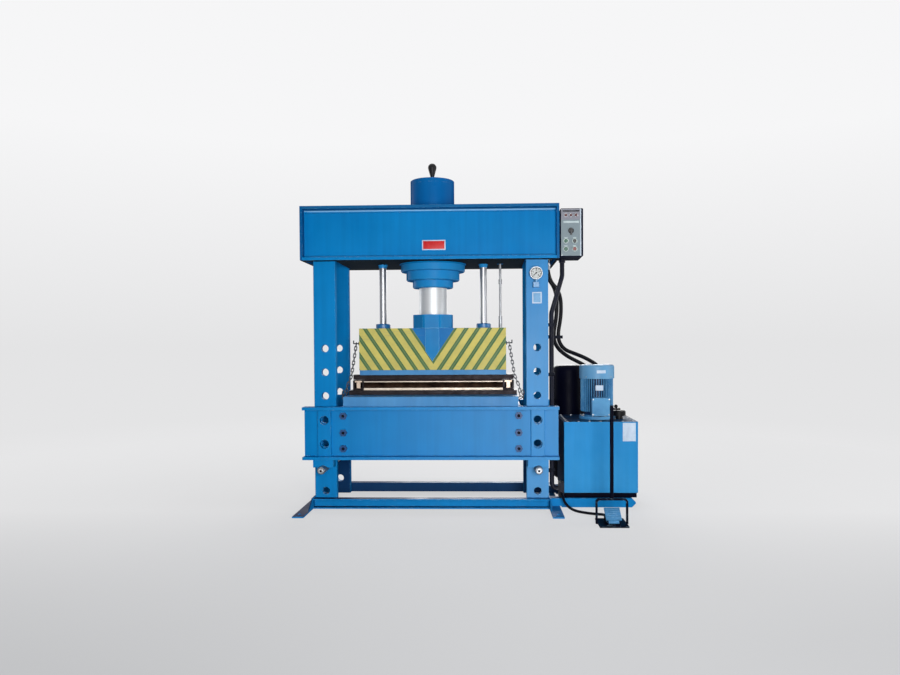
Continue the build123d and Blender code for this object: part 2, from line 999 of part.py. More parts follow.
with BuildPart() as selector:
    bar_y(selector_x, selector_z, panel_y - selector_t, panel_y, selector_r)
    bar_y(selector_x, selector_z, panel_y, selector_end, selector_shaft_r)
    grip_y = panel_y - selector_t
    block(
        selector_x - selector_grip_w / 2,
        selector_x + selector_grip_w / 2,
        grip_y - selector_grip_t,
        grip_y,
        selector_z + selector_r - selector_grip_l,
        selector_z + selector_r,
    )
save(selector.part, "selector")

# Gauge
gauge_back_y = -upright_face_y - gauge_stand
gauge_front_y = gauge_back_y - gauge_depth
dial_y = gauge_front_y + gauge_sink
with BuildPart() as gauge_case:
    bar_y(gauge_x, gauge_z, gauge_front_y, gauge_back_y, gauge_r)
    bar_y(gauge_x, gauge_z, gauge_front_y, dial_y, gauge_r - gauge_wall, Mode.SUBTRACT)
    bar_y(gauge_x, gauge_z, dial_y, gauge_back_y, pointer_shaft_r + pointer_shaft_fit, Mode.SUBTRACT)
    stem_y = (gauge_front_y + gauge_back_y) / 2 + gauge_sink / 2
    post(gauge_x, stem_y, gauge_z - gauge_r - gauge_stem_len, gauge_z - gauge_r + gauge_wall, gauge_stem_r)
    block(
        gauge_x - gauge_block_w / 2,
        gauge_x + gauge_block_w / 2,
        stem_y - gauge_stem_r,
        -upright_face_y,
        gauge_z - gauge_r - gauge_stem_len,
        gauge_z - gauge_r - gauge_stem_len + gauge_block_h,
    )
save(gauge_case.part, "gauge_case")

with BuildPart() as gauge_dial:
    bar_y(gauge_x, gauge_z, dial_y - gauge_dial_t, dial_y, gauge_r - gauge_wall - gauge_dial_gap)
    bar_y(gauge_x, gauge_z, dial_y - gauge_dial_t, dial_y, pointer_shaft_r + pointer_shaft_fit, Mode.SUBTRACT)
save(gauge_dial.part, "gauge_dial")

pointer_y = dial_y - gauge_dial_t - pointer_shaft_fit
with BuildPart() as gauge_pointer:
    with BuildSketch(Plane.XZ.offset(-pointer_y)):
        with Locations(Location((gauge_x, gauge_z), pointer_angle)):
            Polygon(
                (-pointer_l, 0),
                (0, -pointer_w),
                (pointer_tail, -pointer_w / 2),
                (pointer_tail, pointer_w / 2),
                (0, pointer_w),
                align=None,
            )
    extrude(amount=pointer_t)
    bar_y(gauge_x, gauge_z, pointer_y - pointer_hub_t, pointer_y, pointer_hub_r)
    bar_y(gauge_x, gauge_z, pointer_y, pointer_y + pointer_hub_t + gauge_dial_t, pointer_shaft_r)
save(gauge_pointer.part, "gauge_pointer")

# Tank and skid
with BuildPart() as oil_tank:
    block(tank_x0, tank_x1, tank_y0, tank_y1, tank_z0, tank_top)
    chamfer(oil_tank.edges().filter_by(Axis.Z), tank_edge)
    block(
        tank_x0 + tank_wall,
        tank_x1 - tank_wall,
        tank_y0 + tank_wall,
        tank_y1 - tank_wall,
        tank_z0 + tank_wall,
        tank_top - tank_lid_t,
        Mode.SUBTRACT,
    )
    post(motor_x, motor_y, tank_top - tank_lid_t, tank_top, pump_hole_r, Mode.SUBTRACT)
save(oil_tank.part, "oil_tank")

with BuildPart() as tank_skid:
    for y0, y1 in ((tank_y0, tank_y0 + skid_w), (tank_y1 - skid_w, tank_y1)):
        block(skid_x0, skid_x1, y0, y1, 0, skid_h)
    far_edges = tank_skid.edges().filter_by(Axis.Y).group_by(Axis.X)[-1]
    chamfer(far_edges, skid_bevel)
    tongue_x0 = foot_in_x + foot_t + skid_tongue_gap
    for y0, y1 in ((tank_y0, tank_y0 + skid_w), (tank_y1 - skid_w, tank_y1)):
        block(tongue_x0, skid_x0, y0, y1, foot_t, skid_h)
    for x in (bearer_x0, bearer_x1):
        left = x - bearer_w / 2
        right = x + bearer_w / 2
        block(left, right, tank_y0 + bearer_inset, tank_y1 - bearer_inset, skid_h, tank_z0)
        block(left, right, tank_y0 + skid_w, tank_y1 - skid_w, 0, skid_h)
save(tank_skid.part, "tank_skid")

# Motor
with BuildPart() as motor_body:
    post(motor_x, motor_y, tank_top, tank_top + motor_flange_h, motor_flange_r)
    post(motor_x, motor_y, tank_top, motor_top, motor_r)
    fin_mid = (fin_bottom + cowl_bottom) / 2
    with Locations((motor_x, motor_y, fin_mid)):
        with PolarLocations(motor_r + fin_reach / 2, fin_count):
            Box(fin_reach + fin_t, fin_t, cowl_bottom - fin_bottom)
    junction_back = motor_y - motor_r / 2
    junction_front = junction_face_y + junction_lid_t
    with BuildSketch(Plane.XZ.offset(-junction_back)):
        with Locations((motor_x + junction_side, junction_z0 + junction_h / 2)):
            RectangleRounded(junction_w, junction_h, junction_corner)
    extrude(amount=junction_back - junction_front)
    with BuildSketch(Plane.XZ.offset(-junction_front)):
        with Locations((motor_x + junction_side, junction_z0 + junction_h / 2)):
            RectangleRounded(junction_w - 2 * junction_lid_gap, junction_h - 2 * junction_lid_gap, junction_corner)
    extrude(amount=junction_lid_t)
    post(motor_x, motor_y, tank_top, motor_top, shaft_r + shaft_fit, Mode.SUBTRACT)
save(motor_body.part, "motor_body")

with BuildPart() as motor_cowl:
    post(motor_x, motor_y, cowl_bottom, cowl_top, cowl_r)
    fillet(motor_cowl.edges().filter_by(GeomType.CIRCLE).sort_by(Axis.Z)[-1], cowl_edge)
    post(motor_x, motor_y, cowl_bottom, motor_top, motor_r + cowl_gap, Mode.SUBTRACT)
    post(motor_x, motor_y, motor_top, cowl_top - cowl_wall, cowl_r - cowl_edge, Mode.SUBTRACT)
    for k in range(cowl_slot_count):
        slot_y = motor_y + (k - (cowl_slot_count - 1) / 2) * cowl_slot_pitch
        slot_half = cowl_r / 2
        block(
            motor_x - slot_half,
            motor_x + slot_half,
            slot_y - cowl_slot_w / 2,
            slot_y + cowl_slot_w / 2,
            cowl_top - cowl_wall,
            cowl_top,
            Mode.SUBTRACT,
        )
save(motor_cowl.part, "motor_cowl")

blade_in = fan_hub_r - fan_blade_root
blade_out = fan_r - fan_rim_gap
with BuildPart() as motor_fan:
    post(motor_x, motor_y, fan_bottom, fan_bottom + fan_disc_t, fan_r)
    post(motor_x, motor_y, fan_bottom, fan_bottom + fan_hub_h, fan_hub_r)
    with Locations((motor_x, motor_y, fan_bottom + fan_disc_t + fan_blade_h / 2)):
        with PolarLocations((blade_in + blade_out) / 2, fan_blade_count):
            Box(blade_out - blade_in, fan_blade_t, fan_blade_h)
    post(motor_x, motor_y, tank_top, fan_bottom, shaft_r)
save(motor_fan.part, "motor_fan")

with BuildPart() as filler_cap:
    post(filler_x, filler_y, tank_top, tank_top + filler_neck_h, filler_neck_r)
    filler_low = tank_top + filler_neck_h
    post(filler_x, filler_y, filler_low, filler_low + filler_h, filler_r)
    fillet(filler_cap.edges().filter_by(GeomType.CIRCLE).sort_by(Axis.Z)[-1], filler_edge)
    knob_low = filler_low + filler_h
    knob_x = filler_x + filler_knob_x
    post(knob_x, filler_y, knob_low, knob_low + filler_knob_stem_h, filler_knob_stem_r)
    with Locations((knob_x, filler_y, knob_low + filler_knob_stem_h + filler_knob_r / 2)):
        Sphere(filler_knob_r)
save(filler_cap.part, "filler_cap")

# Accumulator and its holder
with BuildPart() as accumulator:
    post(bottle_x, bottle_y, bottle_bottom + bottle_neck_h, bottle_top, bottle_r)
    fillet(accumulator.edges().filter_by(GeomType.CIRCLE), bottle_edge)
    post(bottle_x, bottle_y, bottle_bottom, bottle_top - bottle_edge, bottle_neck_r)
save(accumulator.part, "accumulator")

with BuildPart() as accumulator_holder:
    for z in (band_z0, band_z1):
        post(bottle_x, bottle_y, z, z + band_h, bottle_r + band_gap + band_t)
        block(bottle_x - bottle_r / 2, bottle_x + bottle_r / 2, tank_y1, bottle_y, z, z + band_h)
        post(bottle_x, bottle_y, z, z + band_h, bottle_r + band_gap, Mode.SUBTRACT)
    shelf_x0 = bottle_x - bottle_r / 2
    shelf_x1 = bottle_x + bottle_r / 2
    shelf_y1 = bottle_y + bottle_r / 2
    block(shelf_x0, shelf_x1, tank_y1 - bearer_w, shelf_y1, skid_h, bottle_bottom)
    block(shelf_x0, shelf_x1, bottle_y, shelf_y1, 0, skid_h)
save(accumulator_holder.part, "accumulator_holder")

# Valve block, hose fittings and hose bracket
with BuildPart() as valve_block:
    block(valve_x0, valve_x1, valve_y0, valve_y1, tank_top, valve_top)
    solenoid_z = tank_top + (valve_h - solenoid_h) / 2
    solenoid_y0 = (valve_y0 + valve_y1 - solenoid_w) / 2
    solenoid_y1 = solenoid_y0 + solenoid_w
    for x0, x1 in ((valve_x0 - solenoid_l, valve_x0), (valve_x1, valve_x1 + solenoid_l)):
        block(x0, x1, solenoid_y0, solenoid_y1, solenoid_z, solenoid_z + solenoid_h)
save(valve_block.part, "valve_block")

with BuildPart() as hose_fittings:
    for route in (hose_a_route, hose_b_route):
        x_top, y_top, z_top = route[0]
        x_low, y_low, z_low = route[-1]
        for x, y, z in ((x_top, y_top, z_top), (x_low, y_low, valve_top)):
            with BuildSketch(Plane.XY.offset(z)):
                with Locations((x, y)):
                    RegularPolygon(fitting_r, 6)
            extrude(amount=fitting_h)
save(hose_fittings.part, "hose_fittings")

with BuildPart() as line_brackets:
    port_plate_top = port_plate_z + port_plate_t
    block(upright_out_x, head_in_half, port_plate_y0, port_plate_y1, port_plate_z, port_plate_top)
    bar_top = guide_bar_z + guide_bar_h
    inner_x = upright_out_x + guide_bar_t
    block(upright_out_x, inner_x, guide_bar_y0, guide_loop_y1, guide_bar_z, bar_top)
    outer_x = guide_loop_x + guide_bar_t
    block(inner_x, outer_x, guide_loop_y0, guide_loop_y0 - guide_bar_t, guide_bar_z, bar_top)
    block(inner_x, outer_x, guide_loop_y1 - guide_bar_t, guide_loop_y1, guide_bar_z, bar_top)
    block(guide_loop_x, outer_x, guide_loop_y0, guide_loop_y1, guide_bar_z, bar_top)
    for z in (clip_z0, clip_z1, clip_z2):
        block(
            upright_out_x,
            conduit_x + conduit_r + clip_t,
            conduit_y - conduit_r - clip_t,
            conduit_y + conduit_r + clip_t,
            z,
            z + clip_w,
        )
        post(conduit_x, conduit_y, z, z + clip_w, conduit_r + clip_gap, Mode.SUBTRACT)
save(line_brackets.part, "line_brackets")


# Free cords: straight runs joined by tangent arcs
def cord_radii(route):
    points = [Vector(*p) for p in route]
    radii = []
    for k in range(1, len(points) - 1):
        run_in = points[k] - points[k - 1]
        run_out = points[k + 1] - points[k]
        turn = radians(run_in.get_angle(run_out))
        radii.append(cord_bend_share * min(run_in.length, run_out.length) / tan(turn / 2))
    return radii


def cord(route, r, label):
    radii = cord_radii(route)
    with BuildPart() as tube:
        with BuildLine() as path:
            FilletPolyline(*route, radius=radii)
        with BuildSketch(Plane(origin=path.line @ 0, z_dir=path.line % 0)):
            Circle(r)
        sweep(transition=Transition.RIGHT)
    length = path.wires()[0].length
    print(label, "length", round(length, 1), "radii", [round(x, 1) for x in radii])
    print(label, "volume share", round(tube.part.volume / (length * pi * r * r), 4))
    return tube.part


save(cord(hose_a_route, hose_r, "hose_pressure"), "hose_pressure")
save(cord(hose_b_route, hose_r, "hose_return"), "hose_return")
save(cord(cable_route, cable_r, "pedal_cable"), "pedal_cable")

# Cable conduit, held along the upright
conduit_route = (
    (conduit_box_x, conduit_box_y, box_z0 - gland_h),
    (conduit_box_x, conduit_box_y, conduit_lean_z),
    (conduit_x, conduit_y, conduit_join_z),
    (conduit_x, conduit_y, conduit_low_z),
    (case_x0, conduit_y, conduit_low_z),
)
with BuildPart() as cable_conduit:
    with BuildLine() as conduit_path:
        FilletPolyline(*conduit_route, radius=(conduit_turn_r, conduit_turn_r, conduit_low_turn_r))
    with BuildSketch(Plane(origin=conduit_path.line @ 0, z_dir=conduit_path.line % 0)):
        Circle(conduit_r)
    sweep(transition=Transition.RIGHT)
    post(conduit_box_x, conduit_box_y, box_z0 - gland_h, box_z0, gland_body_r)
    block(case_x0, tank_x0, case_y0, case_y1, case_z0, case_z1)
    bar_y(cable_start_x, cable_start_z, cable_start_y, case_y0, cable_gland_r)
save(cable_conduit.part, "cable_conduit")

# Foot pedal
with BuildPart() as pedal_base:
    block(pedal_x0, pedal_x1, pedal_y0, pedal_y1, 0, pedal_base_t)
    block(
        pedal_x - housing_w / 2,
        pedal_x + housing_w / 2,
        housing_step_y,
        housing_y1,
        pedal_base_t,
        housing_h,
    )
    block(
        pedal_x - housing_w / 2,
        pedal_x + housing_w / 2,
        housing_y0,
        housing_step_y,
        pedal_base_t,
        housing_front_h,
    )
    for side in (-1, 1):
        cheek_in = pedal_x + side * (housing_w / 2 - cheek_t)
        cheek_out = pedal_x + side * housing_w / 2
        cheek_back = hinge_y + cheek_t + hinge_r
        cheek_top = hinge_z + hinge_r + cheek_t
        block(cheek_in, cheek_out, housing_y0, cheek_back, housing_front_h, cheek_top)
    bar_x(hinge_y, hinge_z, pedal_x - housing_w, pedal_x + housing_w, hinge_r + hinge_fit, Mode.SUBTRACT)
    bar_y(cable_end_x, cable_end_z, housing_y1, cable_end_y, cable_gland_r)
save(pedal_base.part, "pedal_base")

guard_top = guard_h


def arch_outline(inset, corner):
    left = pedal_x0 - guard_t + inset
    right = pedal_x1 + guard_t - inset
    top = guard_top - inset
    return (
        (left, 0),
        (right, 0),
        (right, top - corner),
        (right - corner, top),
        (left + corner, top),
        (left, top - corner),
    )


with BuildPart() as pedal_guard:
    with BuildSketch(Plane.XZ.offset(-guard_y - guard_w / 2)):
        Polygon(*arch_outline(0, guard_corner), align=None)
        Polygon(*arch_outline(guard_t, guard_in_corner), align=None, mode=Mode.SUBTRACT)
    extrude(amount=guard_w)
    post(pedal_x, guard_y, guard_top, carry_top, carry_r)
save(pedal_guard.part, "pedal_guard")

with BuildPart() as pedal_tread:
    tread_plane = Plane(
        origin=(pedal_x, hinge_y, hinge_z),
        x_dir=(1, 0, 0),
        z_dir=(0, -sin(radians(tread_angle)), cos(radians(tread_angle))),
    )
    barrel_half = housing_w / 2 - cheek_t - hinge_fit
    bar_x(hinge_y, hinge_z, pedal_x - housing_w / 2, pedal_x + housing_w / 2, hinge_r)
    bar_x(hinge_y, hinge_z, pedal_x - barrel_half, pedal_x + barrel_half, hinge_r + hinge_fit + tread_t / 2)
    tread_low = hinge_r + tread_t
    with BuildSketch(tread_plane.offset(tread_low)):
        with Locations((0, tread_l / 2)):
            Rectangle(tread_w, tread_l)
    extrude(amount=tread_t)
    with BuildSketch(tread_plane):
        with Locations((0, hinge_r)):
            Rectangle(2 * barrel_half, 2 * hinge_r)
    extrude(amount=tread_low)
    with BuildSketch(tread_plane.offset(tread_low + tread_t)):
        with Locations(*[(0, tread_l * (k + 1) / (tread_rib_count + 1)) for k in range(tread_rib_count)]):
            Rectangle(tread_w - 2 * tread_rib_w, tread_rib_w)
    extrude(amount=tread_rib_h)
save(pedal_tread.part, "pedal_tread")
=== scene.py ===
import bmesh
import bpy
import math
from mathutils import Matrix, Vector


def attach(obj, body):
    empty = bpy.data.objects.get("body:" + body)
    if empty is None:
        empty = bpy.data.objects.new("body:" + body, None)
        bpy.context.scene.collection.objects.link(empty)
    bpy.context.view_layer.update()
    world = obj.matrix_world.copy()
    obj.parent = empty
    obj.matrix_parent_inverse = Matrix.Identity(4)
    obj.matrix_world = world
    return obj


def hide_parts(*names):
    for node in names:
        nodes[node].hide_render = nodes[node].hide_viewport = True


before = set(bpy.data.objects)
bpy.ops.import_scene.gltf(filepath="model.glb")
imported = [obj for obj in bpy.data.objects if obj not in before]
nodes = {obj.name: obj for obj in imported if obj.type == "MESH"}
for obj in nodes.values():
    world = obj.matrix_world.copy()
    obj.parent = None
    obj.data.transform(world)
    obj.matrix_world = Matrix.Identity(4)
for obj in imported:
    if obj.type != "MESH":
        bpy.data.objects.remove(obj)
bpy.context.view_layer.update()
scene = bpy.context.scene

# Directions
FRONT = (0, -1, 0)
REAR = (0, 1, 0)
UP = (0, 0, 1)
DOWN = (0, 0, -1)

# Places that several pieces share, in metres
UPRIGHT_X = 0.731
WEB_Y = 0.283
HEAD_BOTTOM = 1.696
HEAD_ROUND_Z = (1.716, 2.043)
TABLE_BOTTOM = 0.36
TANK_LID = 0.586
MOTOR_X = 1.171
MOTOR_Y = -0.015
PANEL_Y = -0.351

# Hoses, cable and their ends
HOSE_RADIUS = 0.014
LEAD_RADIUS = 0.009
FERRULE_RADIUS = 0.0182
FERRULE_BORE = 0.0142

# Weld beads and labels
RIPPLE_STEP = 0.0035
RIPPLE_LOW = 0.82
LABEL_THICK = 0.0005
LABEL_Y = (-0.2658, -0.2649)

# Stripes on the beam
CHEVRON_SLOPE = 56.0
CHEVRON_PITCH = 0.083
CHEVRON_SHARE = 0.61
CHEVRON_START = 0.0535
CHEVRON_MID = 0.006
CHEVRON_FOOT = 0.94
CHEVRON_VEE = -0.05

# Paint colours that several looks share
FRAME_LIGHT = (4, 122, 187)
FRAME_DEEP = (0, 112, 176)
# Painted light on the cylinder's rings below the head.
LIT_RINGS = (30, 124, 184)
CHIPPED_BLUE = (150, 190, 214)
COAT_ROUGH = 0.1


# Colours are written as they look on screen, from 0 to 255
def rgb(r, g, b):
    def line(c):
        c = c / 255
        return c / 12.92 if c <= 0.04045 else ((c + 0.055) / 1.055) ** 2.4
    return (line(r), line(g), line(b), 1.0)


def shade(colour, share):
    """A screen colour made darker by a share."""
    return rgb(*[c * share for c in colour])


# Helpers for shader nodes
class Nodes:
    def __init__(self, tree):
        self.tree = tree

    def add(self, kind, **settings):
        made = self.tree.nodes.new(kind)
        for key, value in settings.items():
            setattr(made, key, value)
        return made

    def put(self, value, socket):
        if isinstance(value, bpy.types.NodeSocket):
            self.tree.links.new(value, socket)
        else:
            socket.default_value = value

    def math(self, operation, a, b=0.0):
        made = self.add("ShaderNodeMath", operation=operation)
        self.put(a, made.inputs[0])
        self.put(b, made.inputs[1])
        return made.outputs[0]

    def times(self, first, *others):
        product = first
        for other in others:
            product = self.math("MULTIPLY", product, other)
        return product

    def span(self, value, low, high, to_low=0.0, to_high=1.0):
        made = self.add("ShaderNodeMapRange")
        self.put(value, made.inputs["Value"])
        made.inputs["From Min"].default_value = low
        made.inputs["From Max"].default_value = high
        made.inputs["To Min"].default_value = to_low
        made.inputs["To Max"].default_value = to_high
        return made.outputs[0]

    def mix(self, share, a, b):
        made = self.add("ShaderNodeMix", data_type="RGBA")
        self.put(share, made.inputs[0])
        self.put(a, made.inputs[6])
        self.put(b, made.inputs[7])
        return made.outputs[2]

    def mix_shaders(self, share, a, b):
        made = self.add("ShaderNodeMixShader")
        self.put(share, made.inputs[0])
        self.put(a, made.inputs[1])
        self.put(b, made.inputs[2])
        return made.outputs[0]

    def seen(self):
        """1 for rays that the camera or a reflection sees, 0 for rays that only bring light."""
        path = self.add("ShaderNodeLightPath").outputs
        either = self.math("MAXIMUM", path["Is Camera Ray"], path["Is Glossy Ray"])
        return self.math("MAXIMUM", either, path["Is Transmission Ray"])


# Materials
class Mat(Nodes):
    def __init__(self, name):
        self.mat = bpy.data.materials.new(name)
        self.mat.use_nodes = True
        super().__init__(self.mat.node_tree)
        self.bsdf = self.tree.nodes["Principled BSDF"]
        self.coord = self.add("ShaderNodeTexCoord").outputs["Object"]
        self.bumps = None

    def axis(self, letter):
        made = self.add("ShaderNodeSeparateXYZ")
        self.put(self.coord, made.inputs[0])
        return made.outputs[letter]

    def stretched(self, scale):
        made = self.add("ShaderNodeMapping")
        self.put(self.coord, made.inputs["Vector"])
        made.inputs["Scale"].default_value = scale
        return made.outputs[0]

    def noise(self, scale, detail=3.0, rough=0.55, vector=None):
        made = self.add("ShaderNodeTexNoise")
        self.put(vector or self.coord, made.inputs["Vector"])
        made.inputs["Scale"].default_value = scale
        made.inputs["Detail"].default_value = detail
        made.inputs["Roughness"].default_value = rough
        return made.outputs["Fac"]

    def edges(self, radius):
        bevel = self.add("ShaderNodeBevel", samples=4)
        bevel.inputs["Radius"].default_value = radius
        flat = self.add("ShaderNodeNewGeometry").outputs["Normal"]
        dot = self.add("ShaderNodeVectorMath", operation="DOT_PRODUCT")
        self.put(bevel.outputs[0], dot.inputs[0])
        self.put(flat, dot.inputs[1])
        return self.span(dot.outputs["Value"], 0.995, 0.85)

    def facing(self, letter):
        normal = self.add("ShaderNodeNewGeometry").outputs["Normal"]
        made = self.add("ShaderNodeSeparateXYZ")
        self.put(normal, made.inputs[0])
        return made.outputs[letter]

    def bump(self, height, distance, strength=1.0):
        made = self.add("ShaderNodeBump")
        made.inputs["Strength"].default_value = strength
        made.inputs["Distance"].default_value = distance
        self.put(height, made.inputs["Height"])
        if self.bumps is not None:
            self.put(self.bumps, made.inputs["Normal"])
        self.bumps = made.outputs[0]

    def round_edges(self, radius):
        bevel = self.add("ShaderNodeBevel", samples=4)
        bevel.inputs["Radius"].default_value = radius
        self.bumps = bevel.outputs[0]

    def done(self, colour, rough, metal=0.0, coat=0.0, gloss=0.5):
        self.put(colour, self.bsdf.inputs["Base Color"])
        self.put(rough, self.bsdf.inputs["Roughness"])
        self.put(metal, self.bsdf.inputs["Metallic"])
        self.bsdf.inputs["Specular IOR Level"].default_value = gloss
        self.bsdf.inputs["Coat Weight"].default_value = coat
        self.bsdf.inputs["Coat Roughness"].default_value = COAT_ROUGH
        if self.bumps is not None:
            self.put(self.bumps, self.bsdf.inputs["Normal"])
        return self.mat


def worn(m, colour, edge_colour, wear=0.6):
    """A paler colour in patches along the corners."""
    chips = m.span(m.noise(38.0, 4.0, 0.7), 0.48, 0.62)
    return m.mix(m.times(m.edges(0.0035), chips, wear), colour, edge_colour)


def paint(
    name, light, deep, rough=0.38, gloss=0.12, wear=0.6, low_dust=False, shaded_lid=None, edge_highlight=0.0,
    lit_below=None, glare_right=None, shadow_under=None, shade_above=None, shadow_behind=None, shade_left=False,
    glint=0.0,
):
    """Enamel with clouds, runs and worn edges, plus painted shade and painted highlights set by the options;
    glare_right is a span on X, the other places are heights.
    """
    m = Mat(name)
    m.round_edges(0.0018)
    x, y, z = m.axis("X"), m.axis("Y"), m.axis("Z")
    tilt = m.facing("Z")
    under = m.span(tilt, -0.6, -0.9)
    to_top = m.span(tilt, 0.6, 0.9)
    to_front = m.span(m.facing("Y"), -0.5, -0.8)
    clouds = m.span(m.noise(2.4, 3.0, 0.6), 0.3, 0.7)
    runs = m.span(m.noise(1.0, 3.0, 0.5, m.stretched((26.0, 26.0, 1.1))), 0.35, 0.75)
    colour = m.mix(clouds, rgb(*deep), rgb(*light))
    colour = m.mix(m.times(runs, 0.22), colour, shade(deep, 0.72))
    # Painted shade: faces that point down are darker.
    colour = m.mix(under, colour, shade(deep, 0.8))
    # Painted shadow: faces that point down at this height, the head's bottom, are near black.
    if shadow_under:
        gap = m.math("ABSOLUTE", m.math("SUBTRACT", z, shadow_under))
        colour = m.mix(m.times(under, m.span(gap, 0.004, 0.002)), colour, shade(deep, 0.2))
    # Painted light: the cylinder's rings below this height are paler, as if lit from below.
    if lit_below:
        colour = m.mix(m.span(z, lit_below + 0.001, lit_below - 0.001), colour, rgb(*LIT_RINGS))
    # Painted shade: front faces above this height, the head's top edge, are darker.
    if shade_above:
        shaded_brow = m.times(m.span(z, shade_above, shade_above + 0.001), to_front, 0.7)
        colour = m.mix(shaded_brow, colour, rgb(24, 76, 120))
    # Painted highlight: a pale glare on the front faces towards the right, weaker higher up.
    if glare_right:
        glare = m.times(m.span(x, *glare_right), m.span(z, 1.1, 1.7, 1.0, 0.5))
        glare = m.times(glare, m.span(to_front, 0.0, 1.0, 0.4, 1.0))
        colour = m.mix(glare, colour, rgb(150, 190, 222))
    # Painted shadow: front faces behind the table and below its bottom are near black; low top faces get
    # painted shade, stronger on the left.
    if shadow_behind:
        low = m.span(z, shadow_behind + 0.01, shadow_behind - 0.02)
        shaded = m.times(m.span(y, 0.0, 0.02), low, to_front, 0.85)
        colour = m.mix(shaded, colour, rgb(6, 16, 58))
        shaded_foot_top = m.times(m.span(z, 0.08, 0.07), to_top, m.span(x, -0.7, 0.7, 0.95, 0.4))
        colour = m.mix(shaded_foot_top, colour, rgb(8, 14, 62))
    # Painted shade: faces that point to the left are near black.
    if shade_left:
        left = m.span(m.facing("X"), -0.7, -0.9)
        colour = m.mix(m.times(left, 0.92), colour, rgb(4, 8, 36))
    if low_dust:
        dust = m.times(m.span(z, 0.32, 0.0), m.noise(14.0, 4.0), 0.06)
        colour = m.mix(dust, colour, rgb(96, 104, 110))
    # Painted shade: the lid's top is dark navy, in mottled patches.
    if shaded_lid:
        lid = m.times(m.span(z, shaded_lid - 0.002, shaded_lid - 0.001), to_top)
        oil_and_shade = m.span(m.noise(9.0, 4.0), 0.3, 0.6, 0.75, 1.0)
        colour = m.mix(m.times(lid, oil_and_shade), colour, rgb(12, 26, 52))
    colour = worn(m, colour, rgb(*CHIPPED_BLUE), wear)
    # Painted highlight: paler lines along the edges.
    if edge_highlight:
        colour = m.mix(m.times(m.edges(0.005), edge_highlight), colour, rgb(112, 184, 228))
    # Painted highlight: a pale line where the round faces partly down.
    if glint:
        band = m.times(m.span(tilt, -0.4, -0.52), m.span(tilt, -0.84, -0.72), glint)
        colour = m.mix(band, colour, rgb(160, 212, 240))
    m.bump(m.noise(420.0, 2.0), 0.0006, 0.22)
    m.bump(m.noise(9.0, 2.0), 0.004, 0.10)
    roughness = m.span(m.noise(6.0, 4.0), 0.3, 0.7, rough - 0.08, rough + 0.12)
    aside = m.span(m.math("ABSOLUTE", m.facing("X")), 0.8, 0.95)
    matt = m.times(m.math("MAXIMUM", under, aside), 0.95)
    return m.done(colour, m.math("MAXIMUM", roughness, matt), gloss=gloss)


def metal(name, light, deep, rough, grain, grain_scale=140.0, stains=0.25, relief=0.25):
    m = Mat(name)
    m.round_edges(0.0010)
    lines = m.noise(grain_scale, 3.0, 0.6, m.stretched(grain))
    spots = m.span(m.noise(11.0, 5.0, 0.65), 0.45, 0.72)
    colour = m.mix(m.span(lines, 0.3, 0.7), rgb(*deep), rgb(*light))
    colour = m.mix(m.times(spots, stains), colour, shade(deep, 0.45))
    m.bump(lines, 0.0004, relief)
    roughness = m.span(m.noise(24.0, 4.0), 0.3, 0.7, rough - 0.06, rough + 0.12)
    return m.done(colour, roughness, metal=1.0)


def plastic(name, light, deep, rough, grain=900.0, depth=0.0003, coat=0.0, gloss=0.5):
    m = Mat(name)
    m.round_edges(0.0008)
    clouds = m.span(m.noise(22.0, 3.0), 0.3, 0.7)
    colour = m.mix(clouds, rgb(*deep), rgb(*light))
    m.bump(m.noise(grain, 2.0), depth, 0.3)
    roughness = m.span(m.noise(40.0, 3.0), 0.3, 0.7, rough - 0.06, rough + 0.08)
    return m.done(colour, roughness, coat=coat, gloss=gloss)


def stripes():
    m = Mat("chevron_paint")
    m.round_edges(0.0018)
    x, z = m.axis("X"), m.axis("Z")
    aside = m.math("ABSOLUTE", m.math("SUBTRACT", x, CHEVRON_MID))
    lean = 1 / math.tan(math.radians(CHEVRON_SLOPE))
    slant = m.math("SUBTRACT", aside, m.times(m.math("SUBTRACT", z, CHEVRON_FOOT), lean))
    ragged = m.times(m.math("SUBTRACT", m.noise(90.0, 2.0), 0.5), 0.0035)
    place = m.math("ADD", slant, ragged)
    shifted = m.math("ADD", place, 12 * CHEVRON_PITCH - CHEVRON_START)
    turn = m.math("FRACT", m.math("DIVIDE", shifted, CHEVRON_PITCH))
    band = m.times(m.span(turn, 0.0, 0.03), m.span(turn, CHEVRON_SHARE + 0.03, CHEVRON_SHARE))
    rub = m.span(m.noise(7.0, 5.0, 0.7), 0.35, 0.75)
    yellow = m.mix(rub, rgb(196, 184, 98), rgb(172, 162, 92))
    green = m.mix(rub, rgb(58, 96, 60), rgb(84, 114, 74))
    from_centre = m.math("SUBTRACT", turn, 0.5 + CHEVRON_SHARE / 2)
    centre = m.span(m.math("ABSOLUTE", from_centre), 0.06, 0.03)
    green = m.mix(m.times(centre, 0.5), green, rgb(124, 138, 92))
    blue = m.mix(rub, rgb(6, 100, 164), rgb(16, 110, 174))
    face = m.span(m.math("ABSOLUTE", m.facing("Y")), 0.8, 0.9)
    middle = m.span(place, CHEVRON_VEE, CHEVRON_VEE + 0.002)
    colour = m.mix(m.times(face, middle), blue, m.mix(band, green, yellow))
    scuff = m.span(m.noise(1.0, 4.0, 0.6, m.stretched((4.0, 4.0, 60.0))), 0.62, 0.74)
    colour = m.mix(m.times(scuff, 0.35), colour, rgb(120, 122, 112))
    colour = worn(m, colour, rgb(168, 176, 178), 0.8)
    m.bump(m.noise(420.0, 2.0), 0.0006, 0.2)
    roughness = m.span(m.noise(6.0, 4.0), 0.3, 0.7, 0.34, 0.52)
    return m.done(colour, roughness, gloss=0.08)


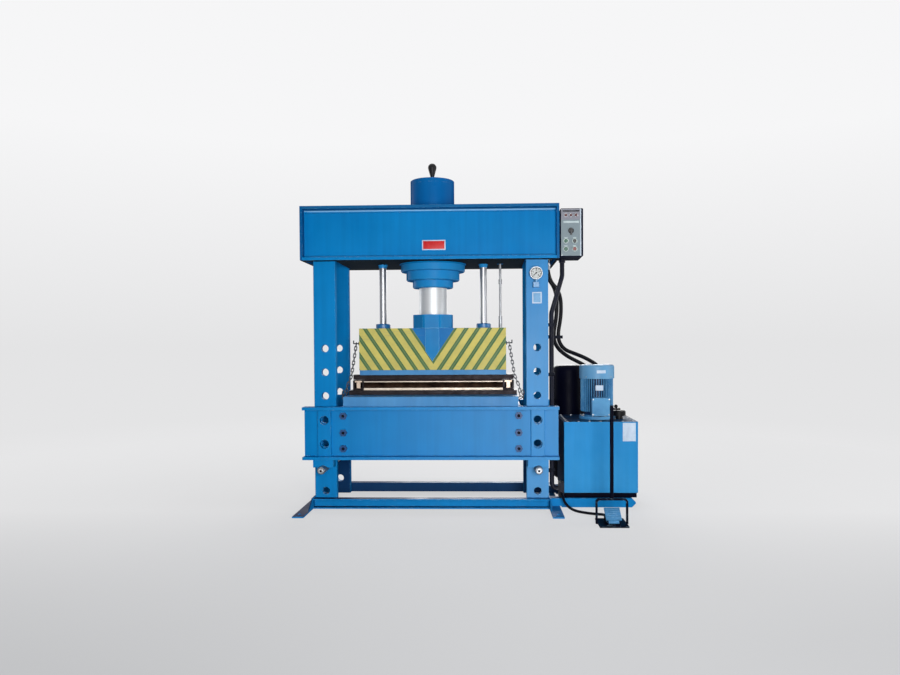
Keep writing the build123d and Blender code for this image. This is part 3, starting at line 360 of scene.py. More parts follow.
def motor_look():
    """Ribbed casting: blue on the fin tips, with painted shade down in the valleys."""
    m = Mat("motor_blue")
    m.round_edges(0.0010)
    x = m.math("SUBTRACT", m.axis("X"), MOTOR_X)
    y = m.math("SUBTRACT", m.axis("Y"), MOTOR_Y)
    reach = m.math("SQRT", m.math("ADD", m.times(x, x), m.times(y, y)))
    clouds = m.span(m.noise(7.0, 3.0, 0.6), 0.3, 0.7)
    tips = m.mix(clouds, rgb(44, 108, 160), rgb(84, 146, 190))
    fin_tip, fin_root = 0.112, 0.098
    foot_low, foot_high = 0.612, 0.618
    shaded_valley = m.times(m.span(reach, fin_tip, fin_root), m.span(m.axis("Z"), foot_low, foot_high))
    colour = m.mix(shaded_valley, tips, rgb(10, 34, 70))
    colour = worn(m, colour, rgb(*CHIPPED_BLUE))
    m.bump(m.noise(260.0, 3.0), 0.0010, 0.3)
    return m.done(colour, m.span(clouds, 0.0, 1.0, 0.4, 0.55), gloss=0.15)


def die_look():
    m = Mat("die_steel")
    m.round_edges(0.0010)
    lines = m.noise(90.0, 3.0, 0.6, m.stretched((0.4, 6.0, 6.0)))
    land = m.mix(m.span(lines, 0.3, 0.7), rgb(150, 140, 128), rgb(188, 178, 166))
    vee = m.mix(m.span(m.noise(16.0, 5.0, 0.65), 0.3, 0.7), rgb(30, 20, 20), rgb(96, 76, 62))
    # Painted shadow: the top of the land, just under the punch, is dark.
    top = m.span(m.axis("Z"), 0.856, 0.860)
    land = m.mix(top, land, rgb(34, 26, 26))
    straight = m.math("ABSOLUTE", m.facing("Y"))
    level = m.math("ABSOLUTE", m.facing("Z"))
    flat = m.span(m.math("MAXIMUM", straight, level), 0.86, 0.94)
    m.bump(lines, 0.0004, 0.2)
    roughness = m.span(m.noise(24.0, 4.0), 0.3, 0.7, 0.46, 0.62)
    return m.done(m.mix(flat, vee, land), roughness, metal=1.0)


def panel_box():
    m = Mat("panel_grey")
    m.round_edges(0.0015)
    grain = m.span(m.noise(700.0, 2.0), 0.3, 0.7)
    face = m.mix(grain, rgb(116, 130, 136), rgb(130, 143, 150))
    shell = m.mix(grain, rgb(8, 14, 34), rgb(16, 24, 46))
    front = m.span(m.axis("Y"), -0.3462, -0.3468)
    top = m.span(m.axis("Z"), 1.945, 1.955)
    face = m.mix(m.times(top, 0.5), face, rgb(138, 128, 142))
    colour = m.mix(front, shell, face)
    # Painted highlight: a pale strip on the right edge of the face plate.
    right = m.span(m.axis("X"), 1.0135, 1.0165)
    colour = m.mix(m.times(right, front), colour, rgb(196, 210, 222))
    m.bump(m.noise(700.0, 2.0), 0.0004, 0.3)
    matt_shell = m.span(front, 0.0, 1.0, 0.95, 0.0)
    roughness = m.math("MAXIMUM", m.span(grain, 0.0, 1.0, 0.42, 0.55), matt_shell)
    return m.done(colour, roughness, gloss=0.08)


def rod_chrome():
    m = Mat("hard_chrome")
    rings = m.noise(1.0, 3.0, 0.6, m.stretched((1.5, 1.5, 420.0)))
    # Oil smears on the rod.
    oil_and_shade = m.span(m.noise(3.0, 4.0, 0.6, m.stretched((6.0, 6.0, 1.2))), 0.5, 0.75)
    colour = m.mix(m.span(rings, 0.3, 0.7), rgb(176, 179, 182), rgb(194, 197, 199))
    colour = m.mix(m.times(oil_and_shade, 0.25), colour, rgb(168, 166, 158))
    m.bump(rings, 0.0001, 0.06)
    return m.done(colour, m.span(oil_and_shade, 0.0, 1.0, 0.48, 0.56), metal=0.55)


def half_painted(name, split, steel, blue, rough):
    """Bright steel above a height, frame paint below it."""
    m = Mat(name)
    m.round_edges(0.0010)
    lines = m.noise(1.0, 3.0, 0.6, m.stretched((60.0, 60.0, 900.0)))
    bare = m.mix(m.span(lines, 0.3, 0.7), shade(steel, 0.88), rgb(*steel))
    coat = m.mix(m.span(m.noise(12.0, 3.0), 0.3, 0.7), shade(blue, 0.88), rgb(*blue))
    upper = m.span(m.axis("Z"), split - 0.0004, split + 0.0004)
    m.bump(lines, 0.0002, 0.2)
    return m.done(m.mix(upper, coat, bare), m.span(upper, 0.0, 1.0, 0.38, rough), metal=upper)


def hose_rubber(name):
    m = Mat(name)
    weave = m.noise(600.0, 3.0, 0.6)
    dust = m.span(m.noise(16.0, 4.0, 0.65), 0.45, 0.75)
    colour = m.mix(m.times(dust, 0.5), rgb(5, 6, 13), rgb(14, 15, 24))
    m.bump(weave, 0.0008, 0.35)
    return m.done(colour, m.span(dust, 0.0, 1.0, 0.38, 0.6), gloss=0.08)


def conduit_plastic():
    m = Mat("ribbed_conduit")
    ribs = m.add("ShaderNodeTexWave", bands_direction="Z")
    m.put(m.coord, ribs.inputs["Vector"])
    ribs.inputs["Scale"].default_value = 46.0
    ribs.inputs["Distortion"].default_value = 0.0
    m.bump(ribs.outputs["Fac"], 0.0015, 0.8)
    dust = m.span(m.noise(20.0, 4.0), 0.45, 0.75)
    colour = m.mix(m.times(dust, 0.5), rgb(5, 8, 24), rgb(16, 22, 44))
    return m.done(colour, m.span(dust, 0.0, 1.0, 0.35, 0.55), gloss=0.2)


def plain_plate(name, light, deep, rough=0.4):
    m = Mat(name)
    clouds = m.span(m.noise(30.0, 4.0), 0.3, 0.7)
    smear = m.span(m.noise(1.0, 3.0, 0.5, m.stretched((40.0, 40.0, 8.0))), 0.55, 0.75)
    colour = m.mix(clouds, rgb(*deep), rgb(*light))
    colour = m.mix(m.times(smear, 0.18), colour, shade(deep, 0.7))
    m.bump(m.noise(500.0, 2.0), 0.0002, 0.15)
    return m.done(colour, m.span(clouds, 0.0, 1.0, rough - 0.05, rough + 0.1), gloss=0.15)


# The looks, and the nodes that wear them
frame_blue = paint(
    "frame_blue", FRAME_LIGHT, FRAME_DEEP, 0.40, 0.05, low_dust=True,
    shadow_under=HEAD_BOTTOM, shade_above=HEAD_ROUND_Z[1], shadow_behind=TABLE_BOTTOM,
)
upright_blue = paint(
    "upright_blue", FRAME_LIGHT, FRAME_DEEP, 0.40, 0.05, low_dust=True,
    shadow_behind=TABLE_BOTTOM, glare_right=(0.3, 0.6, 0.0, 0.24),
)
table_blue = paint(
    "table_blue", FRAME_LIGHT, FRAME_DEEP, 0.40, 0.05, low_dust=True, glare_right=(-0.8, 0.8, 0.0, 0.17),
)
# Painted shade: a darker copy of the frame paint for the head's end plates.
end_blue_shaded = paint("end_blue_shaded", (4, 92, 150), (0, 80, 136), 0.40, 0.05, low_dust=True, shadow_under=HEAD_BOTTOM)
bolt_blue = paint("bolt_blue", (10, 70, 124), (4, 52, 100), 0.36, 0.3, 0.3)
round_blue = paint("round_blue", (10, 122, 187), FRAME_DEEP, 0.22, 0.5, 0.0, glint=0.55)
tank_blue = paint(
    "tank_blue", (48, 138, 196), (30, 126, 188), gloss=0.05, low_dust=True, shaded_lid=TANK_LID, shade_left=True,
)
cylinder_blue = paint("cylinder_blue", (8, 98, 162), (2, 84, 146), 0.34, 0.06, lit_below=HEAD_BOTTOM)
nose_blue = paint("nose_blue", (20, 122, 182), (8, 108, 168), 0.34, 0.08, edge_highlight=2.0)
plate_blue = paint("plate_blue", (76, 140, 190), (54, 116, 168), 0.42)
motor_blue = motor_look()
cowl_blue = paint("cowl_blue", (108, 158, 194), (84, 138, 180), 0.4, 0.15)
tread_blue = paint("tread_blue", (72, 130, 174), (48, 102, 148), 0.45)
black_paint = paint("black_paint", (7, 8, 24), (3, 4, 14), 0.4, 0.02)
chevrons = stripes()
chrome = rod_chrome()
ground_steel = metal("ground_steel", (150, 152, 155), (118, 121, 125), 0.42, (1.0, 1.0, 6.0), relief=0.04)
pin_steel = metal("pin_steel", (132, 137, 142), (92, 97, 104), 0.42, (6.0, 1.0, 6.0))
die_steel = die_look()
dark_steel = metal("dark_steel", (44, 40, 42), (22, 19, 21), 0.5, (0.5, 3.0, 3.0), 60.0, 0.5)
chain_steel = metal("chain_steel", (92, 94, 98), (50, 52, 56), 0.45, (2.0, 2.0, 2.0), 90.0, 0.4)
zinc = metal("zinc", (172, 176, 180), (128, 132, 138), 0.36, (2.0, 2.0, 2.0), 70.0, 0.2)
dull_zinc = metal("dull_zinc", (24, 26, 32), (13, 14, 20), 0.55, (2.0, 2.0, 2.0), 70.0, 0.3)
guide_steel = half_painted("guide_steel", 1.2715, (158, 160, 163), (14, 96, 152), 0.4)
gauge_metal = half_painted("gauge_metal", 1.556, (136, 140, 144), (60, 128, 180), 0.4)
lug_steel = metal("lug_steel", (200, 184, 168), (160, 140, 124), 0.5, (2.0, 2.0, 2.0), 70.0, 0.4)
box_grey = panel_box()
black_plastic = plastic("black_plastic", (10, 10, 14), (5, 5, 8), 0.45, gloss=0.12)
rubber = plastic("bulb_rubber", (14, 14, 17), (7, 7, 9), 0.5, 700.0, 0.0004, gloss=0.2)
lamp_lens = plastic("lamp_lens", (96, 48, 52), (70, 34, 40), 0.18, 300.0, 0.0002, 0.6)
button_green = plastic("button_green", (36, 92, 70), (24, 70, 54), 0.26, 400.0, 0.0002, 0.4)
button_red = plastic("button_red", (128, 40, 38), (96, 28, 28), 0.26, 400.0, 0.0002, 0.4)
button_black = plastic("button_black", (20, 24, 28), (12, 14, 17), 0.26, 400.0, 0.0002, 0.4)
dial_white = plain_plate("dial_white", (194, 198, 198), (184, 188, 188), 0.5)
dial_ink = plain_plate("dial_ink", (26, 26, 30), (14, 14, 18), 0.5)
bezel_grey = plastic("bezel_grey", (188, 204, 200), (168, 186, 184), 0.35)
legend_pale = plain_plate("legend_pale", (184, 198, 200), (168, 184, 188), 0.5)
label_white = plain_plate("label_white", (190, 204, 220), (172, 188, 208), 0.5)
label_blue = plain_plate("label_blue", (120, 164, 200), (104, 150, 190), 0.42)
plate_red = plain_plate("plate_red", (196, 44, 44), (170, 30, 32), 0.34)
hose_black = hose_rubber("hose_rubber")
cable_black = hose_rubber("cable_rubber")
conduit_dark = conduit_plastic()

looks = {
    "uprights_front": upright_blue, "uprights_rear": frame_blue,
    "head_front_channel": frame_blue, "head_rear_channel": frame_blue,
    "head_end_plates": end_blue_shaded, "head_core": frame_blue, "base_frame": frame_blue,
    "cylinder_barrel": cylinder_blue, "cylinder_cap": cylinder_blue, "gland_nut": cylinder_blue,
    "air_breather": rubber, "piston_rod": chrome, "ram_nose": nose_blue, "upper_beam": chevrons,
    "clamp_plate": plate_blue, "punch": dark_steel, "guide_rods": guide_steel, "guide_bushes": cylinder_blue,
    "limit_rod": ground_steel, "chain_hooks": black_paint, "lift_chains": chain_steel,
    "table_front_channel": table_blue, "table_rear_channel": frame_blue, "table_ties": frame_blue,
    "table_bolts": bolt_blue, "bed_plate": plate_blue, "table_pins": pin_steel,
    "die_base": dark_steel, "die_block": die_steel, "die_brackets": dark_steel, "die_lugs": lug_steel,
    "control_box": box_grey, "panel_lamps": lamp_lens, "button_start": button_green,
    "button_stop": button_red, "button_down": button_black, "button_up": button_green,
    "selector": button_black, "gauge_case": gauge_metal, "gauge_dial": dial_white,
    "gauge_pointer": dial_ink, "oil_tank": tank_blue, "tank_skid": frame_blue,
    "motor_body": motor_blue, "motor_cowl": cowl_blue, "motor_fan": black_plastic,
    "filler_cap": black_plastic, "accumulator": black_paint, "accumulator_holder": dull_zinc,
    "valve_block": dark_steel, "hose_fittings": zinc, "line_brackets": dull_zinc,
    "hose_pressure": hose_black, "hose_return": hose_black, "pedal_cable": cable_black,
    "cable_conduit": conduit_dark, "pedal_base": black_paint, "pedal_guard": black_paint,
    "pedal_tread": tread_blue,
}
for name, look in looks.items():
    held = nodes[name].data.materials
    held.clear()
    held.append(look)


# Cords: the same routes as the part's tubes, in metres, as smooth splines
def cord(name, node, points, radius, look):
    curve = bpy.data.curves.new(name, "CURVE")
    curve.dimensions = "3D"
    curve.bevel_depth = radius
    curve.bevel_resolution = 5
    curve.resolution_u = 20
    curve.use_fill_caps = True
    spline = curve.splines.new("NURBS")
    spline.points.add(len(points) - 1)
    for point, place in zip(spline.points, points):
        point.co = (*place, 1.0)
    spline.order_u = 3
    spline.use_endpoint_u = True
    curve.materials.append(look)
    made = bpy.data.objects.new(name, curve)
    scene.collection.objects.link(made)
    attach(made, "frame")
    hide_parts(node)


# Mesh pieces
def turned(bm, origin, axis, profile, sides=24, look=0):
    """A turned form: profile is a list of (radius, distance along the axis)."""
    axis = Vector(axis).normalized()
    across = axis.orthogonal().normalized()
    beside = axis.cross(across)
    rings = []
    for radius, along in profile:
        centre = Vector(origin) + axis * along
        if radius < 1e-7:
            rings.append([bm.verts.new(centre)])
            continue
        ring = []
        for i in range(sides):
            a = 2 * math.pi * i / sides
            ring.append(bm.verts.new(centre + (across * math.cos(a) + beside * math.sin(a)) * radius))
        rings.append(ring)
    for low, high in zip(rings, rings[1:]):
        for i in range(sides):
            j = (i + 1) % sides
            if len(low) == 1 and len(high) > 1:
                f = bm.faces.new((low[0], high[j], high[i]))
            elif len(high) == 1 and len(low) > 1:
                f = bm.faces.new((low[i], low[j], high[0]))
            elif len(low) > 1:
                f = bm.faces.new((low[i], low[j], high[j], high[i]))
            else:
                continue
            f.material_index = look


def slab(bm, x0, x1, y0, y1, z0, z1, edge=0.0, look=0, turn=None):
    made = bmesh.ops.create_cube(bm, size=1.0)
    verts = made["verts"]
    bmesh.ops.scale(bm, verts=verts, vec=(x1 - x0, y1 - y0, z1 - z0))
    shift = Matrix.Translation(((x0 + x1) / 2, (y0 + y1) / 2, (z0 + z1) / 2))
    bmesh.ops.transform(bm, verts=verts, matrix=(turn @ shift) if turn else shift)
    faces = {f for v in verts for f in v.link_faces}
    for f in faces:
        f.material_index = look
    if edge > 0:
        sides = {e for f in faces for e in f.edges}
        cut = bmesh.ops.bevel(bm, geom=list(sides), offset=edge, segments=2, affect="EDGES", profile=0.6)
        for f in cut["faces"]:
            f.material_index = look


def screw(bm, place, axis, radius, look=0):
    """A cap screw on its washer."""
    rim = 1.35 * radius
    base = 0.16 * radius
    turned(bm, place, axis, [(rim, 0), (rim, base), (0.8 * radius, 0.17 * radius)], 20, look)
    head = 0.62 * radius
    socket = 0.42 * radius
    top = base + head
    bottom = base + 0.45 * head
    profile = [(radius, base), (radius, base + 0.7 * head), (0.86 * radius, top)]
    profile += [(socket, top), (socket, bottom), (0, bottom)]
    turned(bm, place, axis, profile, 12, look)


def weld(bm, start, end, radius, lean):
    """A rippled bead along a line; lean is the direction the bead faces."""
    start, end = Vector(start), Vector(end)
    along = (end - start).normalized()
    out = Vector(lean).normalized()
    side = along.cross(out)
    steps = max(4, int((end - start).length / RIPPLE_STEP))
    rings = []
    for i in range(steps + 1):
        ends = 0.35 if i in (0, steps) else 1.0
        size = radius * ends * (1.0 if i % 2 else RIPPLE_LOW) * (1 + 0.06 * math.sin(i * 1.7))
        centre = start + (end - start) * (i / steps)
        ring = []
        for k in range(6):
            a = k * math.pi / 5
            ring.append(bm.verts.new(centre + (out * math.sin(a) * 0.7 + side * math.cos(a)) * size))
        rings.append(ring)
    for low, high in zip(rings, rings[1:]):
        for k in range(5):
            bm.faces.new((low[k], high[k], high[k + 1], low[k + 1]))


def ring_weld(bm, centre, reach, radius, drop):
    """A bead round a vertical cylinder at a corner; drop is -1 below a face and 1 above it."""
    steps = int(2 * math.pi * reach / RIPPLE_STEP)
    rings = []
    for i in range(steps):
        a = 2 * math.pi * i / steps
        out = Vector((math.cos(a), math.sin(a), 0))
        size = radius * (1.0 if i % 2 else RIPPLE_LOW)
        ring = []
        for k in range(5):
            b = k * math.pi / 8
            level = Vector((0, 0, drop * size * math.sin(b)))
            ring.append(bm.verts.new(Vector(centre) + out * (reach + size * math.cos(b)) + level))
        rings.append(ring)
    for i in range(steps):
        low, high = rings[i], rings[(i + 1) % steps]
        for k in range(4):
            bm.faces.new((low[k], high[k], high[k + 1], low[k + 1]))


def root_fillet(bm, half, y, z, out, down, radius):
    """The rolled round between a channel's web and flange; out and down point to the open side."""
    steps = 6
    ends = []
    for x in (-half, half):
        row = [bm.verts.new((x, y, z))]
        for i in range(steps + 1):
            a = math.pi / 2 * i / steps
            aside = out * radius * (1 - math.cos(a))
            row.append(bm.verts.new((x, y + aside, z + down * radius * (1 - math.sin(a)))))
        ends.append(row)
    left, right = ends
    for i in range(len(left)):
        j = (i + 1) % len(left)
        bm.faces.new((left[i], left[j], right[j], right[i]))
    for row in ends:
        bm.faces.new(row)


def wrap(bm, axis, radius, turns, z0, z1):
    """A thin label round the front of an upright cylinder; turns are degrees to the right of the front."""
    steps = 12
    rows = []
    for reach in (radius, radius + LABEL_THICK):
        for z in (z0, z1):
            row = []
            for i in range(steps + 1):
                a = math.radians(turns[0] + (turns[1] - turns[0]) * i / steps)
                place = (axis[0] + reach * math.sin(a), axis[1] - reach * math.cos(a), z)
                row.append(bm.verts.new(place))
            rows.append(row)
    ring = [rows[0], rows[1], rows[3], rows[2]]
    for k in range(4):
        low, high = ring[k], ring[(k + 1) % 4]
        for i in range(steps):
            bm.faces.new((low[i], low[i + 1], high[i + 1], high[i]))
    for i in (0, steps):
        bm.faces.new([row[i] for row in ring])


def words(bm, text, size, place):
    """Raised figures facing the front, centred on a place."""
    font = bpy.data.curves.new("figure", "FONT")
    font.body = text
    font.size = size
    font.align_x = "CENTER"
    font.align_y = "CENTER"
    font.extrude = 0.0001
    font.offset = 0.0005
    holder = bpy.data.objects.new("figure", font)
    scene.collection.objects.link(holder)
    bpy.context.view_layer.update()
    mesh = bpy.data.meshes.new_from_object(holder.evaluated_get(bpy.context.evaluated_depsgraph_get()))
    mesh.transform(Matrix.Translation(place) @ Matrix.Rotation(math.pi / 2, 4, "X"))
    bm.from_mesh(mesh)
    bpy.data.objects.remove(holder)
    bpy.data.curves.remove(font)
    bpy.data.meshes.remove(mesh)


def piece(name, bm, looks_used, body, flat_above=38.0):
    bmesh.ops.recalc_face_normals(bm, faces=bm.faces)
    for f in bm.faces:
        f.smooth = True
    for e in bm.edges:
        if len(e.link_faces) == 2 and e.calc_face_angle(0.0) > math.radians(flat_above):
            e.smooth = False
    mesh = bpy.data.meshes.new(name)
    bm.to_mesh(mesh)
    bm.free()
    for look in looks_used:
        mesh.materials.append(look)
    made = bpy.data.objects.new(name, mesh)
    scene.collection.objects.link(made)
    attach(made, body)
    return made


# Crimped ferrules on the hose ends and boots on the pedal cable
def ferrule(bm, place, axis):
    outer = FERRULE_RADIUS
    groove = 0.95 * outer
    profile = [(FERRULE_BORE, 0.0), (outer, 0.0), (outer, 0.004)]
    for i in range(5):
        low = 0.006 + i * 0.005
        profile += [(groove, low), (groove, low + 0.002), (outer, low + 0.003), (outer, low + 0.004)]
    profile += [(0.94 * outer, 0.033), (FERRULE_BORE, 0.034)]
    turned(bm, place, axis, profile, 20)


def ferrule_pair(name, route):
    bm = bmesh.new()
    ferrule(bm, route[0], DOWN)
    ferrule(bm, route[-1], UP)
    return piece(name, bm, [zinc], "frame")


pressure_route = [
    (0.828, 0.030, 1.688), (0.828, 0.030, 1.590), (0.918, 0.030, 1.492), (0.925, 0.030, 1.330),
    (0.893, 0.030, 1.166), (0.939, 0.043, 1.080), (1.032, 0.066, 1.046), (1.120, 0.110, 1.010),
    (1.212, 0.168, 0.955), (1.262, 0.188, 0.872), (1.266, 0.190, 0.772), (1.266, 0.190, 0.684),
]
return_route = [
    (0.812, -0.020, 1.688), (0.812, -0.020, 1.606), (0.886, -0.014, 1.506), (0.890, -0.004, 1.332),
    (0.861, 0.008, 1.170), (0.893, 0.024, 1.090), (0.966, 0.052, 1.030), (1.062, 0.112, 0.984),
    (1.138, 0.176, 0.944), (1.181, 0.199, 0.866), (1.185, 0.200, 0.770), (1.185, 0.200, 0.684),
]
lead_route = [
    (0.894, -0.278, 0.092), (0.894, -0.322, 0.092), (0.907, -0.372, 0.046), (0.956, -0.418, 0.013),
    (1.026, -0.466, 0.0095), (1.095, -0.516, 0.012), (1.142, -0.572, 0.023), (1.142, -0.634, 0.023),
]
boot = [
    (0.0092, 0.0), (0.0125, 0.0), (0.0125, 0.004), (0.0114, 0.006), (0.0118, 0.009), (0.0108, 0.011),
    (0.0112, 0.014), (0.0103, 0.016), (0.0106, 0.019), (0.0098, 0.023), (0.0092, 0.024),
]

pressure_ends = ferrule_pair("hose_pressure_ferrules", pressure_route)
return_ends = ferrule_pair("hose_return_ferrules", return_route)
bm = bmesh.new()
turned(bm, lead_route[0], FRONT, boot, 20)
turned(bm, lead_route[-1], REAR, boot, 20)
boots = piece("pedal_cable_boots", bm, [rubber], "frame")

cord(
    "pressure_hose", "hose_pressure", pressure_route, HOSE_RADIUS, hose_black,
)
cord(
    "return_hose", "hose_return", return_route, HOSE_RADIUS, hose_black,
)
cord("pedal_lead", "pedal_cable", lead_route, LEAD_RADIUS, cable_black)

# Red plate on the head, with its rivets
rivet = [(0.0024, 0), (0.0022, 0.0008), (0, 0.0012)]
plate_y = -0.2852
bm = bmesh.new()
slab(bm, -0.051, 0.109, plate_y, -WEB_Y, 1.765, 1.833, 0.001, 1)
slab(bm, -0.044, 0.102, -0.2860, -0.2840, 1.772, 1.826, 0.0005, 0)
for x in (-0.0475, 0.1055):
    for z in (1.7685, 1.8295):
        turned(bm, (x, plate_y, z), FRONT, rivet, 12, 2)
piece("head_plate", bm, [plate_red, label_white, zinc], "frame")

# Beads where plates meet
upright_half = 0.045
table_low, table_high, table_bead = 0.361, 0.676, 0.006
head_half = 0.859
head_low, head_high, head_bead = 1.718, 2.041, 0.007
bm = bmesh.new()
for side in (-1, 1):
    for edge in (-1, 1):
        x = side * UPRIGHT_X + edge * upright_half
        for out in (-1, 1):
            y = out * WEB_Y
            weld(bm, (x, y, table_low), (x, y, table_high), table_bead, (edge, out, 0))
    x = side * head_half
    for out in (-1, 1):
        y = out * WEB_Y
        weld(bm, (x, y, head_low), (x, y, head_high), head_bead, (-side, out, 0))
ring_weld(bm, (0, 0, HEAD_BOTTOM), 0.230, 0.009, -1)
piece("weld_beads", bm, [frame_blue], "frame", 60.0)

# Rolled rounds inside the channels of the head
round_half = 0.858
round_low, round_high = HEAD_ROUND_Z
bm = bmesh.new()
for out in (-1, 1):
    root_fillet(bm, round_half, out * WEB_Y, round_high, out, -1, 0.020)
    root_fillet(bm, round_half, out * WEB_Y, round_low, out, 1, 0.016)
piece("channel_rounds", bm, [round_blue], "frame", 60.0)

# Painted shade: a black sheet that closes the space under the tank, where there is only shade
shade_sheet_sides = [
    (0.918, 1.409, -0.247, -0.244),
    (0.918, 0.921, -0.244, 0.214),
    (1.406, 1.409, -0.244, 0.214),
    (0.918, 1.409, 0.214, 0.217),
]
shade_sheet_low, shade_sheet_high = 0.064, 0.1005
bm = bmesh.new()
for side in shade_sheet_sides:
    slab(bm, *side, shade_sheet_low, shade_sheet_high, 0.0006)
piece("tank_shade_sheet", bm, [black_paint], "frame")

# Control panel: bezels, lid screws, legend strips
button_bezel = [
    (0.0128, -0.0008), (0.0176, -0.0008), (0.0176, 0.0012),
    (0.0162, 0.0024), (0.0136, 0.0024), (0.0128, 0.0010),
]
lamp_bezel = [(0.0104, 0.0), (0.0132, 0.0), (0.0132, 0.0026), (0.0120, 0.0036), (0.0104, 0.0036)]
selector_bezel = [(0.0146, 0.0), (0.0186, 0.0), (0.0186, 0.0022), (0.0172, 0.0032), (0.0146, 0.0032)]
strip_front, strip_back, strip_edge = -0.3516, -0.3508, 0.0003
button_y = -0.3572
lamp_z = 1.980
selector_z = 1.877
bm = bmesh.new()
for x in (0.919, 0.977):
    for z in (1.754, 1.807):
        turned(bm, (x, button_y, z), FRONT, button_bezel, 28, 0)
        slab(bm, x - 0.011, x + 0.011, strip_front, strip_back, z + 0.0205, z + 0.0255, strip_edge, 1)
for x in (0.919, 0.953, 0.987):
    turned(bm, (x, PANEL_Y, lamp_z), FRONT, lamp_bezel, 24, 2)
for x in (0.8935, 1.0145):
    for z in (1.7155, 2.0155):
        screw(bm, (x, PANEL_Y, z), FRONT, 0.0026, 2)
turned(bm, (0.953, PANEL_Y, selector_z), FRONT, selector_bezel, 28, 3)
slab(bm, 0.903, 1.007, -0.3518, strip_back, 1.928, 1.941, strip_edge, 1)
slab(bm, 0.899, 1.009, strip_front, strip_back, 2.003, 2.011, strip_edge, 3)
piece("panel_trim", bm, [bezel_grey, legend_pale, zinc, black_plastic], "frame")

# Gauge: scale and figures
gauge_x, gauge_z, face_y = 0.723, 1.600, -0.3151
scale_start, scale_sweep = 225, 270
scale_ring = [(0.0350, 0.0), (0.0368, 0.0), (0.0368, 0.0002), (0.0350, 0.0002), (0.0350, 0.0)]
figure_reach = 0.0205
tick_end = 0.0365
bm = bmesh.new()
for i in range(41):
    angle = math.radians(scale_start - scale_sweep * i / 40)
    major = i % 5 == 0
    turn = Matrix.Translation((gauge_x, face_y, gauge_z)) @ Matrix.Rotation(-angle, 4, "Y")
    half = 0.0019 if major else 0.0008
    tick_start = 0.0265 if major else 0.0315
    slab(bm, tick_start, tick_end, -0.0001, 0.0002, -half, half, 0.0, 0, turn)
for i in range(5):
    angle = math.radians(scale_start - scale_sweep * i / 4)
    x = gauge_x + figure_reach * math.cos(angle)
    z = gauge_z + figure_reach * math.sin(angle)
    words(bm, str(i), 0.0150, (x, face_y, z))
turned(bm, (gauge_x, face_y, gauge_z), FRONT, scale_ring, 48)
piece("gauge_scale", bm, [dial_ink], "frame")

# Bare plates: motor, cowl, tank front and the upright below the gauge
small_rivet = [(0.0016, 0), (0.0014, 0.0006), (0, 0.0008)]
motor_plate_y = -0.1340
bm = bmesh.new()
slab(bm, 1.1465, 1.1995, motor_plate_y, -0.1300, 0.791, 0.828, 0.0008, 0)
for x in (1.150, 1.196):
    for z in (0.7945, 0.8245):
        turned(bm, (x, motor_plate_y, z), FRONT, small_rivet, 10, 1)
wrap(bm, (MOTOR_X, MOTOR_Y), 0.1232, (-8.0, 22.0), 0.912, 0.933)
slab(bm, 1.311, 1.399, *LABEL_Y, 0.453, 0.579, 0.0003, 0)
slab(bm, 0.698, 0.763, *LABEL_Y, 1.397, 1.475, 0.0003, 0)
slab(bm, 0.706, 0.755, -0.2662, -0.2655, 1.405, 1.467, 0.0003, 2)
piece("bare_labels", bm, [label_white, zinc, label_blue], "frame")

# Small screws: motor foot, junction lid, fan cowl, tank lid; sockets of the table bolts and nuts on the pins
foot_reach, foot_z = 0.117, 0.608
cowl_reach, cowl_z = 0.1229, 0.886
junction_y = -0.186
lid_screw = 0.0060
lid_front, lid_rear = -0.245, 0.215
bolt_x, bolt_y = 0.602, 0.303
bolt_socket = [(0.0120, 0.0), (0.0120, 0.0006), (0, 0.0006)]
pin_nut = [(0.0190, 0.0), (0.0190, 0.006), (0.0165, 0.008), (0.0085, 0.008), (0.0085, 0.003), (0, 0.003)]
pin_hole = [(0.0080, 0.0), (0.0080, 0.0006), (0, 0.0006)]
pin_nut_y, pin_hole_y, pin_z = 0.415, 0.418, 0.276
bm = bmesh.new()
for i in range(8):
    a = math.radians(22.5 + 45 * i)
    place = (MOTOR_X + foot_reach * math.cos(a), MOTOR_Y + foot_reach * math.sin(a), foot_z)
    screw(bm, place, UP, 0.0055)
for x in (1.122, 1.232):
    for z in (0.627, 0.732):
        screw(bm, (x, junction_y, z), FRONT, 0.0036)
for i in range(4):
    a = math.radians(45 + 90 * i)
    out = (math.cos(a), math.sin(a), 0)
    screw(bm, (MOTOR_X + cowl_reach * out[0], MOTOR_Y + cowl_reach * out[1], cowl_z), out, 0.0032)
for i in range(7):
    x = 0.936 + 0.0758 * i
    for y in (lid_front, lid_rear):
        screw(bm, (x, y, TANK_LID), UP, lid_screw)
for i in range(1, 6):
    y = lid_front + 0.0767 * i
    for x in (0.932, 1.395):
        screw(bm, (x, y, TANK_LID), UP, lid_screw)
for side in (-1, 1):
    for out in (-1, 1):
        for z in (0.408, 0.517, 0.633):
            turned(bm, (side * bolt_x, out * bolt_y, z), (0, out, 0), bolt_socket, 6, 1)
        turned(bm, (side * UPRIGHT_X, out * pin_nut_y, pin_z), (0, out, 0), pin_nut, 6, 0)
        turned(bm, (side * UPRIGHT_X, out * pin_hole_y, pin_z), (0, out, 0), pin_hole, 16, 1)
piece("small_screws", bm, [zinc, black_paint], "frame")

# Floor, light and camera
FLOOR_REACH = 60.0
FLOOR_DROP = 0.0005
FLOOR_GLOW = 0.68
HORIZON = rgb(228, 228, 229)
SKY_LIGHT = 0.14


